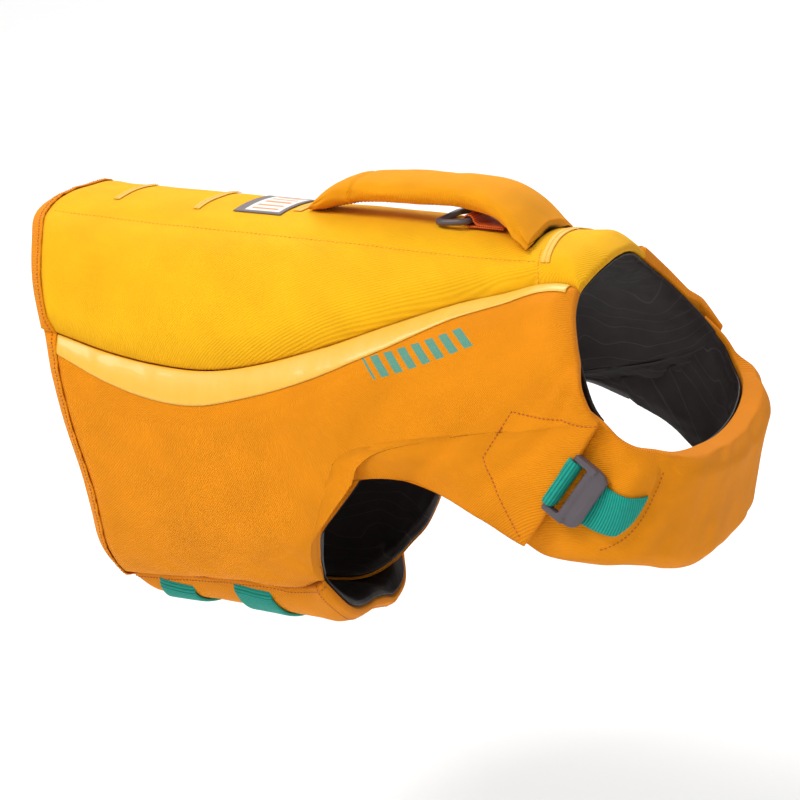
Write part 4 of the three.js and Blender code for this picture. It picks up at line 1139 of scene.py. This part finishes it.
def crown_drop(x, y):
    share = (x + 166) / BACK_LENGTH
    half = smooth(RINGS, "u", "half", share)
    power = 2 / smooth(RINGS, "u", "squareTop", share)
    sine = (np.abs(y) / half) ** (1 / power)
    upright = np.sqrt(1 - sine**2) ** power
    return -smooth(RINGS, "u", "lowZ", share) * smooth(RINGS, "u", "widest", share) * (1 - upright)


def powered(value, power):
    return np.sign(value) * np.abs(value) ** power


x = np.concatenate([[-26, -25.6, -25], np.linspace(-24, 97, 120), [98, 98.6, 99]])[:, None]
turn = np.linspace(0, 2 * math.pi, HANDLE_SIDES, endpoint=False)[None, :]
half, tall, z, drape = (smooth(HANDLE, "x", column, x) for column in ("half", "tall", "z", "drape"))
cap_seam = groove(x - 1 - 1.5 * np.sin(turn), 0.8, 0.9)
wrap = 0.5 * ease((2 - x) / 2)
under_seam = groove((turn - math.pi * 1.5) * half, 0.7, 1.0)
soft = 0.35 * ripple(x / 16, turn * 2.2, 101) + 0.2 * ripple(x / 6, turn * 4, 102)
ends = 0.6 * ripple(x / 9, turn * 5, 103) * (ease((x - 80) / 12) + ease((-12 - x) / 10))
swell = 1 + (cap_seam + wrap + under_seam + soft + ends) / np.maximum(tall, 3)
y = half * powered(np.cos(turn), 0.8) * mix(1, swell, 0.6)
rise = tall * powered(np.sin(turn), 0.9) * swell
loops = np.stack(np.broadcast_arrays(x, y, z + rise - clamp(drape) * crown_drop(x, y)), -1)
handle = tube("handle_padded", loops)
handle_canvas = canvas("handle_canvas", HANDLE_ORANGE)
fit(handle, handle_canvas, "handle_canvas", "handle")


# Neck webbing. Ribbed teal polyester webbing, 25 mm wide. Each piece comes from under a side
# panel's front edge, wraps the ladder lock's rear bar, and runs on to a slot sewn in the collar.
TEAL = (0.008, 0.27, 0.205)
WEBBING_HALF = 12.5
WEBBING_THICK = 1.6
WEBBING_LIFT = 0.5
RIB_PITCH = 1.3
RIB_TALL = 0.24
# Corners of the run from under the lock to the slot, and each lock's middle and a place ahead
NECK_WEBBING = {
    "right": [(0.896, 91), (0.943, 117.4), (0.843, 98.5), (0.89, 112.9)],
    "left": [(0.942, 96), (0.957, 117), (0.868, 95.4), (0.883, 112)],
}
LOCK_PLACE = {
    "right": [(0.872, 94.6), (0.8865, 101.6)],
    "left": [(0.905, 96.5), (0.911, 106)],
}
LOCK_ABOVE = WEBBING_THICK + 2.3
NECK_WRAP = [(-27, -2.9), (-20, -2.75), (-16, -2.1), (-13.8, 0.4), (-12.3, 2.9), (-10.6, 4.4), (-8.9, 4.2),
             (-7.7, 2.2), (-7.4, -1.5)]
ACROSS = np.concatenate([[0, 0.012, 0.035], np.linspace(0.07, 0.93, 20), [0.965, 0.988, 1]])
SELVEDGE = 1 - 0.35 * np.abs(2 * ACROSS - 1) ** 14
STRAP_STEP, BAND_STEP = 0.32, 0.28


def ribs(along):
    return RIB_TALL * np.abs(np.cos(math.pi * along / RIB_PITCH))


# Ribbed webbing: the height of the ribs, of fine threads along each rib and of some wear; the webbing
# material also paints shade from it into the valleys between the ribs
def webbing_group():
    tree, given, out = group_tree("webbing", {"Pitch": "Float"}, ["Height"])
    cloth = cloth_map(tree)
    x, y = split(tree, cloth)[:2]
    turn = maths(tree, "DIVIDE", maths(tree, "MULTIPLY", x, math.pi), given["Pitch"])
    rib = maths(tree, "ABSOLUTE", maths(tree, "COSINE", turn))
    fine = maths(tree, "SINE", maths(tree, "MULTIPLY", y, 2 * math.pi / (0.75 * MM)))
    # The rib height here also becomes painted shade in the material's colour
    rib_shade_and_wear = maths(tree, "MULTIPLY_ADD", noise(tree, cloth, 420, 3), 0.4, rib)
    tree.links.new(maths(tree, "MULTIPLY_ADD", fine, 0.1, rib_shade_and_wear), out["Height"])
    return tree


webbing_ribs = webbing_group()


def webbing_material(name, colour, pitch=RIB_PITCH):
    material, tree = new_material(name, {"Roughness": 0.5, "Specular IOR Level": 0.15})
    height = node(tree, "ShaderNodeGroup", {"Pitch": pitch * MM}, node_tree=webbing_ribs).outputs["Height"]
    # Painted light and shade: the colour is darker in the valleys between the ribs and lighter on the ribs'
    # tops
    lit = between(tree, height, 0.0, 1.0, 0.1, 1.35)
    dress(tree, blend(tree, lit, shade(colour, 0.42), shade(colour, 1.35)), height, 0.5, 0.2)
    return material


# Heights along a strap, evened out so that it bridges small hollows
def evened(values, window):
    wide = np.pad(values, ((window + 1, window), (0, 0)), mode="edge")
    total = np.cumsum(wide, 0)
    mean = (total[2 * window + 1:] - total[:-2 * window - 1]) / (2 * window + 1)
    return np.maximum(mean, values)


# Webbing laid on a panel between four corners, with its ribs square to its length
def webbing_on(panel, corners, dive=(0, 0), hand=1):
    top, low = straight(corners[0], corners[1]), straight(corners[2], corners[3])
    scale = np.array([PER_SHARE, PER_DEGREE])
    run = (top(1.0) + low(1.0) - top(0.0) - low(0.0)) / 2 * scale
    length = np.hypot(*run)
    s = np.linspace(0, 1, round(length / STRAP_STEP))
    place = mix(top(s)[:, None], low(s)[:, None], ACROSS[None, :, None])
    u, a = u_a(place)
    height = evened(panel.height(*panel.shares(u, a)), 18) + WEBBING_LIFT
    walked = Panel.walk(skin(u, a * hand, height), 0)
    left = walked[-1:] - walked
    height = height - dive[0] * ease(1 - walked / 4) - dive[1] * ease(1 - left / 3.5)
    along = ((place - place[0, 0]) * scale) @ (run / length)
    top_height = height + WEBBING_THICK * SELVEDGE + ribs(along)
    cloth = np.stack([along, np.broadcast_to(ACROSS * 2 * WEBBING_HALF, along.shape)], -1)
    return skin(u, a * hand, height), skin(u, a * hand, top_height), cloth


# A band of webbing bent round a bar, from points in a buckle's own frame
def band(path, thick, here, axes):
    knots = np.array(path, float)
    walked = np.concatenate([[0], np.cumsum(np.hypot(*np.diff(knots, axis=0).T))])
    rows = {"at": walked, "x": knots[:, 0], "z": knots[:, 1]}
    at = np.linspace(0, walked[-1], round(walked[-1] / BAND_STEP))[:, None]
    x, z = smooth(rows, "at", "x", at), smooth(rows, "at", "z", at)
    slope = np.concatenate([np.gradient(x, axis=0), np.gradient(z, axis=0)], -1)
    slope /= np.linalg.norm(slope, axis=-1, keepdims=True)
    y = (2 * ACROSS - 1) * WEBBING_HALF
    sides = []
    for away in (-thick / 2, thick / 2 + ribs(at)):
        off = away * SELVEDGE
        local = np.stack(np.broadcast_arrays(x - slope[:, 1:] * off, y, z + slope[:, :1] * off), -1)
        sides.append(here + local @ axes)
    return *sides, np.stack(np.broadcast_arrays(at, y + WEBBING_HALF), -1)


# Several walls as one piece
def walls_piece(name, parts):
    points, faces, cloths, start = [], [], [], 0
    for inner, outer, cloth in parts:
        found, made = wall_faces(inner, outer)
        if volume_of(found, made) < 0:
            made = made[:, ::-1]
        points.append(found)
        faces.append(made + start)
        cloths.append(np.tile(cloth.reshape(-1, 2), (2, 1)))
        start += len(found)
    return make_piece(name, np.concatenate(points), np.concatenate(faces), np.concatenate(cloths))


# A frame standing on a panel: its origin, and its axes along, across and out of the cloth
def frame_on(panel, spot, ahead, above):
    points = []
    for u, a in (spot, ahead):
        s, v = panel.shares(u, a)
        out = panel.lift(s, v) + panel.thick(s, v) + above
        points.append(skin(np.array(u), np.array(a), out))
    return points[0], turned_axes(points[1] - points[0], way_out(np.array(spot[0]), np.array(spot[1])))


def turned_axes(along, out):
    along = along / np.linalg.norm(along)
    across = np.cross(out, along)
    across /= np.linalg.norm(across)
    return np.stack([along, across, np.cross(along, across)])


def onwards(side, place):
    return place if side == "right" else (place[0], 360 - place[1])


teal_webbing = webbing_material("teal_webbing", TEAL)
lock_frames = {}
for side in sides:
    corners = [onwards(side, corner) for corner in NECK_WEBBING[side]]
    spot, ahead = (onwards(side, place) for place in LOCK_PLACE[side])
    lock_frames[side] = frame_on(collar, spot, ahead, LOCK_ABOVE)
    webbing = walls_piece(f"neck_webbing_{side}_ribbed", [
        webbing_on(collar, corners, dive=(0, 2.6)),
        band(NECK_WRAP, 1.4, *lock_frames[side]),
    ])
    fit(webbing, teal_webbing, "teal_webbing", f"neck_webbing_{side}")

# Ladder locks. Moulded grey acetal: a rear bar, two rails, a slot, and a broad front plate that
# is scooped for the thumb. The webbing's wrap holds each one by its rear bar.
GREY = (0.082, 0.066, 0.076)
LOCK_REAR_BAR = {"x": (-11.5, -8.2), "z": (-0.4, 3.3)}
LOCK_RAIL = {"y": (13.0, 15.9), "x": (-10.4, 1), "z": (-0.4, 4.3)}
LOCK_PLATE = table(
    "x low top half", (-3.1, -0.4, 3.9, 15.8), (-2.2, -0.5, 4.4, 15.9), (-0.7, -0.5, 4.4, 15.9),
    (1.2, -0.5, 3.5, 15.8), (3, -0.5, 3.3, 15.6), (4.7, -0.5, 3.3, 15.2), (6.2, -0.5, 2.8, 14.4),
    (7.4, -0.4, 2.1, 13.0), (8.0, 0.2, 1.4, 11.8))
MOULD_VOXEL = 0.45
MOULD_ROUNDS = 5


# A slab over a grid: its half width, low and top face follow a table along x
def slab(rows, fall=0.8):
    x = np.linspace(rows["x"][0], rows["x"][-1], 40)
    t = np.linspace(-1, 1, 20)[None, :]
    half, low, top = (smooth(rows, "x", column, x)[:, None] for column in ("half", "low", "top"))
    y = half * t
    x_grid = np.broadcast_to(x[:, None], y.shape)
    faces = (low + 0 * y, top - fall * np.abs(t) ** 6 + 0 * y)
    return tuple(np.stack([x_grid, y, z], -1) for z in faces)


def block(x, y, z):
    x_grid, y_grid = np.meshgrid(np.linspace(*x, 4), np.linspace(*y, 4), indexing="ij")
    return tuple(np.stack([x_grid, y_grid, np.full_like(x_grid, level)], -1) for level in z)


# Two like blocks, one on each side of the middle
def pair(x, y, z):
    return [block(x, (-y[1], -y[0]), z), block(x, y, z)]


# Moulded plastic: parts run together, remeshed fine and softened, then put in their frame
def moulded(name, parts, here, axes):
    piece = walls_piece(name, [(inner, outer, np.zeros(inner.shape[:2] + (2,))) for inner, outer in parts])
    remesh = piece.modifiers.new("run_together", "REMESH")
    remesh.mode = "VOXEL"
    remesh.voxel_size = MOULD_VOXEL * MM
    soften = piece.modifiers.new("soften", "SMOOTH")
    soften.factor = 0.5
    soften.iterations = MOULD_ROUNDS
    finished = bpy.data.meshes.new_from_object(piece.evaluated_get(bpy.context.evaluated_depsgraph_get()))
    piece.modifiers.clear()
    piece.data = finished
    count = len(finished.vertices)
    points = np.zeros(count * 3)
    finished.vertices.foreach_get("co", points)
    points = here * MM + points.reshape(-1, 3) @ axes
    finished.vertices.foreach_set("co", points.ravel())
    finished.update()
    finished.shade_smooth()
    return piece


def plastic(name, colour):
    material, tree = new_material(name, {})
    place = node(tree, "ShaderNodeTexCoord").outputs["Object"]
    grain = noise(tree, place, 900, 3)
    ink = blend(tree, noise(tree, place, 90, 3), shade(colour, 0.85), shade(colour, 1.18))
    dress(tree, ink, grain, 0.25, 0.1, rough=between(tree, grain, 0.34, 0.5))
    return material


grey_plastic = plastic("grey_plastic", GREY)
for side, stand in lock_frames.items():
    rear_bar = block(LOCK_REAR_BAR["x"], (-15.6, 15.6), LOCK_REAR_BAR["z"])
    rails = pair(LOCK_RAIL["x"], LOCK_RAIL["y"], LOCK_RAIL["z"])
    lock = moulded(f"ladder_lock_{side}_moulded", [slab(LOCK_PLATE), rear_bar, *rails], *stand)
    fit(lock, grey_plastic, "grey_plastic", f"ladder_lock_{side}")

# Belly straps. The same webbing, sewn in at the right belly seam, laid round the outside of the
# belly wrap, and wrapped over the bar of each buckle's plug on the left flank.
BELLY_STRAPS = {"rear": (0.105, 151.5), "front": (0.28, 143.5)}
STRAP_END = 233
PLUG_START = BELLY_END + 1.5
BUCKLE_HEIGHT = 11.6
PLUG_WRAP = [(-8, 0.4), (-4, 1.2), (-1.4, 3.6), (-0.4, 5.6), (1.4, 6.5), (3.4, 6.3), (5.2, 5.2), (6.2, 3),
             (6.4, 0)]


# Corners of a strap's run round the body, from one turn to another
def strap_corners(u, start, end):
    half = WEBBING_HALF / PER_SHARE
    return [(u + way * half, a) for way in (-1, 1) for a in (start, end)]


buckle_frames = {}
for name, (u, start) in BELLY_STRAPS.items():
    here, ahead = (skin(np.array(u), np.array(a), BUCKLE_HEIGHT) for a in (PLUG_START, BELLY_END + 24))
    buckle_frames[name] = here, turned_axes(ahead - here, way_out(np.array(u), np.array(BELLY_END + 12)))
    strap = walls_piece(f"belly_strap_{name}_ribbed", [
        webbing_on(belly, strap_corners(u, start, STRAP_END), dive=(2.4, 0)),
        band(PLUG_WRAP, 1.4, *buckle_frames[name]),
    ])
    fit(strap, teal_webbing, "teal_webbing", f"belly_strap_{name}")

# Buckles. Side-release buckles of the grey acetal, fastened. The plug's two prongs show in the
# socket's side windows, and the socket's far bar takes a short webbing anchor sewn to the flank.
PLUG = {"bar": (0, 4.4), "nose": (9, 16), "half": 16.2}
SOCKET = table(
    "x low top half", (16.3, 0.6, 6.2, 14.6), (17.5, 0, 6.9, 16.0), (23, 0, 7, 16.4), (25.5, 0, 7, 15.6),
    (27.5, 0, 6.9, 13.2), (32, 0, 6.8, 12.6), (36, 0, 6.8, 13.2), (38.5, 0, 6.7, 15.8), (41, 0.2, 6.3, 16.2))
SOCKET_BAR = (44.2, 46.3)
ANCHOR_TURNS = (101, 87.5)
ANCHOR_WRAP = [(38, -5.0), (41.5, -1.6), (42.6, 2.2), (44, 4.2), (45.6, 4.2), (47.6, 2.6), (48.6, -1.0),
               (50, -3.2)]
for name, (u, _) in BELLY_STRAPS.items():
    stand = buckle_frames[name]
    half = PLUG["half"]
    plug = moulded(f"buckle_plug_{name}_moulded", [
        block(PLUG["bar"], (-half + 1, half - 1), (0.8, 4.8)),
        *pair((1, 12), (13.2, half), (0.4, 5.4)),
        block(PLUG["nose"], (-half, half), (0.2, 6)),
        *pair((14, 37), (13.4, 16.3), (1.6, 5.2)),
    ], *stand)
    fit(plug, grey_plastic, "grey_plastic", f"buckle_plug_{name}")
    socket = moulded(f"buckle_socket_{name}_moulded", [
        slab(SOCKET, fall=1.4),
        block(SOCKET_BAR, (-15.4, 15.4), (0.6, 3.4)),
        *pair((39, 45.5), (13.4, 16.3), (0.4, 5.4)),
    ], *stand)
    fit(socket, grey_plastic, "grey_plastic", f"buckle_socket_{name}")
    anchor = walls_piece(f"buckle_anchor_{name}_ribbed", [
        webbing_on(sides["left"], strap_corners(u, *ANCHOR_TURNS), hand=-1),
        band(ANCHOR_WRAP, 1.3, *stand),
    ])
    fit(anchor, teal_webbing, "teal_webbing", f"buckle_anchor_{name}")

# Label and pale tapes. A woven label with a plain striped field in a dark frame, two pale tapes
# sewn across the back behind it, and a pale tab at each end of the handle.
LABEL = {"rear": 0.345, "front": 0.43, "near": 10.2}
PALE_TAPES = {
    "pale_tape_rear": (0.118, 0.13, 11), "pale_tape_middle": (0.276, 0.288, 12),
    "handle_tab_rear": (0.438, 0.453, 5), "handle_tab_front": (0.874, 0.89, 22),
}
PALE = (0.90, 0.50, 0.075)
FLAT_THICK = 0.5
FLAT_STEP = 0.5


def flat_on_back(rear, front, near):
    u = np.linspace(rear, front, max(10, round((front - rear) * BACK_LENGTH / FLAT_STEP)))
    a = np.linspace(-near, near, round(2 * near * PER_DEGREE / FLAT_STEP))
    u_grid, a_grid = np.meshgrid(u, a, indexing="ij")
    s, v = back.shares(u_grid, np.abs(a_grid))
    height = evened(back.height(s, v * np.sign(a_grid)), 4) + 0.35
    base = skin(u_grid, a_grid, height)
    edge = edge_distance(Panel.walk(base, 0), Panel.walk(base, 1))
    top = height + FLAT_THICK - 0.3 * (1 - clamp(edge / 0.6)) ** 2
    cloth = np.stack([(u_grid - rear) / (front - rear), (a_grid + near) / (2 * near)], -1)
    return base, skin(u_grid, a_grid, top), cloth


def label_material():
    material, tree = new_material("woven_label", {"Roughness": 0.7})
    cloth = cloth_map(tree)
    x, y = (maths(tree, "MULTIPLY", part, 1 / MM) for part in split(tree, cloth)[:2])
    off_x = maths(tree, "ABSOLUTE", maths(tree, "SUBTRACT", x, 0.56))
    off_y = maths(tree, "ABSOLUTE", maths(tree, "SUBTRACT", y, 0.5))
    past_frame = maths(tree, "MAXIMUM", off_x, maths(tree, "SUBTRACT", off_y, 0.06))
    inside = maths(tree, "LESS_THAN", past_frame, 0.36)
    stripe = maths(tree, "GREATER_THAN", maths(tree, "FRACT", maths(tree, "MULTIPLY", y, 6.0)), 0.62)
    warm = maths(tree, "MULTIPLY", stripe, maths(tree, "LESS_THAN", off_x, 0.27))
    field = blend(tree, warm, (0.80, 0.74, 0.70, 1), (0.80, 0.22, 0.03, 1))
    ink = blend(tree, inside, (0.10, 0.075, 0.08, 1), field)
    woven = noise(tree, cloth, 90000, 2)
    tone = blend(tree, maths(tree, "MULTIPLY", woven, 0.25), ink, (0.5, 0.45, 0.42, 1))
    dress(tree, tone, woven, 0.3, 0.1)
    return material


base, top, cloth = flat_on_back(**LABEL)
label = wall("label_woven", base, top, cloth)
fit(label, label_material(), "woven_label", "label")
pale_tape = canvas("pale_tape", PALE, roughness=0.6, sheen=0.1, bump=0.25)
for name, (rear, front, near) in PALE_TAPES.items():
    base, top, _ = flat_on_back(rear, front, near)
    tape = wall(f"{name}_sewn", base, top)
    fit(tape, pale_tape, "pale_tape", name)

# Leash ring. A ring of 3.2 mm grey rod bent to a rounded rectangle, lying on the back under the
# handle. It turns about its front bar, inside a fold of webbing with a little room round the rod.
RING_FRONT = 62
RING_LONG = 16
RING_HALF = 15.5
RING_CORNER = 5.0
ROD = 1.62
ROD_SIDES = 20
SEAM_GAP, REST_GAP = 0.3, 0.1
PLAIN_ROD = 1.5
ROD_ROOM = PLAIN_ROD * math.sqrt(2) + 0.15
FOLD_THICK = 1
BAR_HEIGHT = BACK_THICK + SEAM_GAP + ROD_ROOM + FOLD_THICK
RING_TILT = math.asin((ROD_ROOM + FOLD_THICK - PLAIN_ROD - REST_GAP) / RING_LONG)


def ring_loops():
    points = []
    for x, y, start in ((0, 1, 0), (-1, 1, 90), (-1, -1, 180), (0, -1, 270)):
        middle = (x * RING_LONG + RING_CORNER * (1 if x else -1), y * (RING_HALF - RING_CORNER))
        angle = np.radians(np.linspace(start, start + 90, 12))[:, None]
        points.append(np.array(middle) + RING_CORNER * np.concatenate([np.cos(angle), np.sin(angle)], 1))
    return np.concatenate(points)


middle = ring_loops()
steps = np.roll(middle, -1, 0) - np.roll(middle, 1, 0)
side_way = np.stack([steps[:, 1], -steps[:, 0]], -1) / np.linalg.norm(steps, axis=-1, keepdims=True)
turn = np.linspace(0, 2 * math.pi, ROD_SIDES, endpoint=False)
x = middle[:, :1] + ROD * np.cos(turn) * side_way[:, :1]
y = middle[:, 1:] + ROD * np.cos(turn) * side_way[:, 1:]
z = np.broadcast_to(ROD * np.sin(turn), x.shape)
rod = np.stack([
    RING_FRONT + x * math.cos(RING_TILT) - z * math.sin(RING_TILT),
    y,
    BAR_HEIGHT + x * math.sin(RING_TILT) + z * math.cos(RING_TILT),
], -1)
index = np.arange(len(middle) * ROD_SIDES).reshape(-1, ROD_SIDES)
around = np.roll(index, -1, 1)
faces = quads(index, around, np.roll(around, -1, 0), np.roll(index, -1, 0))
leash_ring = make_piece("leash_ring_rod", rod.reshape(-1, 3), faces)
fit(leash_ring, grey_plastic, "grey_plastic", "leash_ring", body="leash_ring")

# Ring webbing. A doubled strip of orange webbing round the ring's front bar, its two layers sewn
# down together under the handle.
RING_WRAP = [(18, -1.75), (8, -1.75), (4.6, -1.5), (3.0, -0.2), (2.2, 1.55), (0.5, 2.7), (-1.4, 2.4),
             (-2.62, 0.9), (-2.62, -0.9), (-1.6, -2.25), (0, -2.76), (5, -2.79), (18, -2.79)]
ring_orange = webbing_material("orange_webbing", (0.62, 0.115, 0.018), 1.05)
fold = band(RING_WRAP, 0.92, np.array([RING_FRONT, 0, BAR_HEIGHT]), np.eye(3))
ring_webbing = walls_piece("ring_webbing_folded", [fold])
fit(ring_webbing, ring_orange, "orange_webbing", "ring_webbing")


# Stitches. Polyester thread: orange-red rows round the pockets, along the seams, the hem tape and the
# collar's slots, yellow rows on the back, and dark red rows under the handle, whose darkness is partly
# painted shade of the handle's underside. Each stitch is modelled.
THREAD_RED = (0.42, 0.085, 0.006)
THREAD_YELLOW = (0.85, 0.36, 0.01)
# Partly painted shade: dark enough to stand also for the shade under the handle
THREAD_DARK = (0.10, 0.02, 0.01)
THREAD_PALE = (0.85, 0.45, 0.05)


def stitch_tree():
    tree = bpy.data.node_groups.new("stitches", "GeometryNodeTree")
    inputs = {
        "Lines": "Geometry", "Pitch": "Float", "Length": "Float", "Width": "Float", "Thread": "Material"}
    for label, kind in inputs.items():
        tree.interface.new_socket(label, in_out="INPUT", socket_type=f"NodeSocket{kind}")
    tree.interface.new_socket("Stitches", in_out="OUTPUT", socket_type="NodeSocketGeometry")
    given, out = tree.nodes.new("NodeGroupInput").outputs, tree.nodes.new("NodeGroupOutput").inputs
    curve = node(tree, "GeometryNodeMeshToCurve", {0: given["Lines"]}).outputs[0]
    spaced = {"Curve": curve, "Length": given["Pitch"]}
    spots = node(tree, "GeometryNodeCurveToPoints", spaced, mode="LENGTH").outputs
    bead = node(tree, "GeometryNodeMeshUVSphere", {"Segments": 6, "Rings": 4, "Radius": 0.5}).outputs[0]
    forward = {"Vector": spots["Tangent"]}
    aligned = node(tree, "FunctionNodeAlignRotationToVector", forward, axis="X").outputs[0]
    wide = given["Width"]
    size = node(tree, "ShaderNodeCombineXYZ", {"X": given["Length"], "Y": wide, "Z": wide}).outputs[0]
    placed = node(tree, "GeometryNodeInstanceOnPoints", {
        "Points": spots["Points"], "Instance": bead, "Rotation": aligned, "Scale": size}).outputs[0]
    real = node(tree, "GeometryNodeRealizeInstances", {0: placed}).outputs[0]
    painted = node(tree, "GeometryNodeSetMaterial", {0: real, "Material": given["Thread"]}).outputs[0]
    tree.links.new(painted, out[0])
    return tree


# Twisted yarn: fine lighter and darker flecks
def yarn_group():
    tree, given, out = group_tree("yarn", {"Fineness": "Float"}, ["Tone"])
    place = node(tree, "ShaderNodeTexCoord").outputs["Object"]
    tree.links.new(noise(tree, place, given["Fineness"], 2), out["Tone"])
    return tree


stitches = stitch_tree()
yarn = yarn_group()


def thread(name, colour):
    material, tree = new_material(name, {"Roughness": 0.5})
    tone = node(tree, "ShaderNodeGroup", {"Fineness": 2200}, node_tree=yarn).outputs["Tone"]
    dress(tree, blend(tree, tone, shade(colour, 0.8), shade(colour, 1.2)))
    return material


def sew(name, lines, colour, pitch=2.1, length=1.5, width=0.6):
    points, edges = [], []
    for line in lines:
        start = len(points)
        points += (line * MM).tolist()
        edges += [(start + i, start + i + 1) for i in range(len(line) - 1)]
    mesh = bpy.data.meshes.new(name)
    mesh.from_pydata(points, edges, [])
    rows = bpy.data.objects.new(name, mesh)
    scene.collection.objects.link(rows)
    modifier = rows.modifiers.new("stitches", "NODES")
    modifier.node_group = stitches
    given = {"Pitch": pitch * MM, "Length": length * MM, "Width": width * MM,
             "Thread": thread(name, colour)}
    for item in stitches.interface.items_tree:
        if item.name in given:
            modifier[item.identifier] = given[item.name]
    made = bpy.data.meshes.new_from_object(rows.evaluated_get(bpy.context.evaluated_depsgraph_get()))
    rows.modifiers.clear()
    rows.data = made
    made.shade_smooth()
    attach(rows, "jacket")


def back_line(line, way, above=0.1, count=40):
    u, a = polyline(line, count).T
    s, v = back.shares(u, np.abs(a))
    return skin(u, way * a, back.height(s, v * way) + above)


red_lines = [sides[side].line_on(POCKET[side]) for side in sides]
red_lines += [sides["right"].edge_line("bottom", 3.2, end=BELLY_SHARE - 0.02), belly.edge_line("top", 3.2)]
red_lines += [belly.edge_line("front", 5), belly.edge_line("bottom", 5)]
outer_tape = hem_outer[:, 2] * 0.6 + hem_outer[:, 3] * 0.4
red_lines.append(outer_tape + (outer_tape - hem_inner[:, 2]) * 0.15)
for side in sides:
    ahead = [onwards(side, (u, a + 1.6)) for u, a in SLOT_SEAM[side]]
    red_lines.append(collar.line_on(ahead))
sew("seam_stitches", red_lines, THREAD_RED)
sew("back_stitches", [back_line(line, way) for way in (1, -1) for line in (QUILT, QUILT_CROSS)],
    THREAD_YELLOW, pitch=2.3, length=1.6)
# Dark rows along the handle's underside, partly painted shade
under = [loops[6:-6, round(HANDLE_SIDES * share)] for share in (0.70, 0.80)]
sew("handle_stitches", under, THREAD_DARK, pitch=2.0, length=1.5, width=0.8)
tape_lines = []
for rear, front, near in PALE_TAPES.values():
    ends = [((rear + front) / 2, near - 0.6), ((rear + front) / 2, 0.3)]
    tape_lines.append(np.concatenate([back_line(ends, -1, 1.0, 24), back_line(ends[::-1], 1, 1.0, 24)]))
sew("tape_stitches", tape_lines, THREAD_PALE, pitch=1.8, length=1.2, width=0.45)
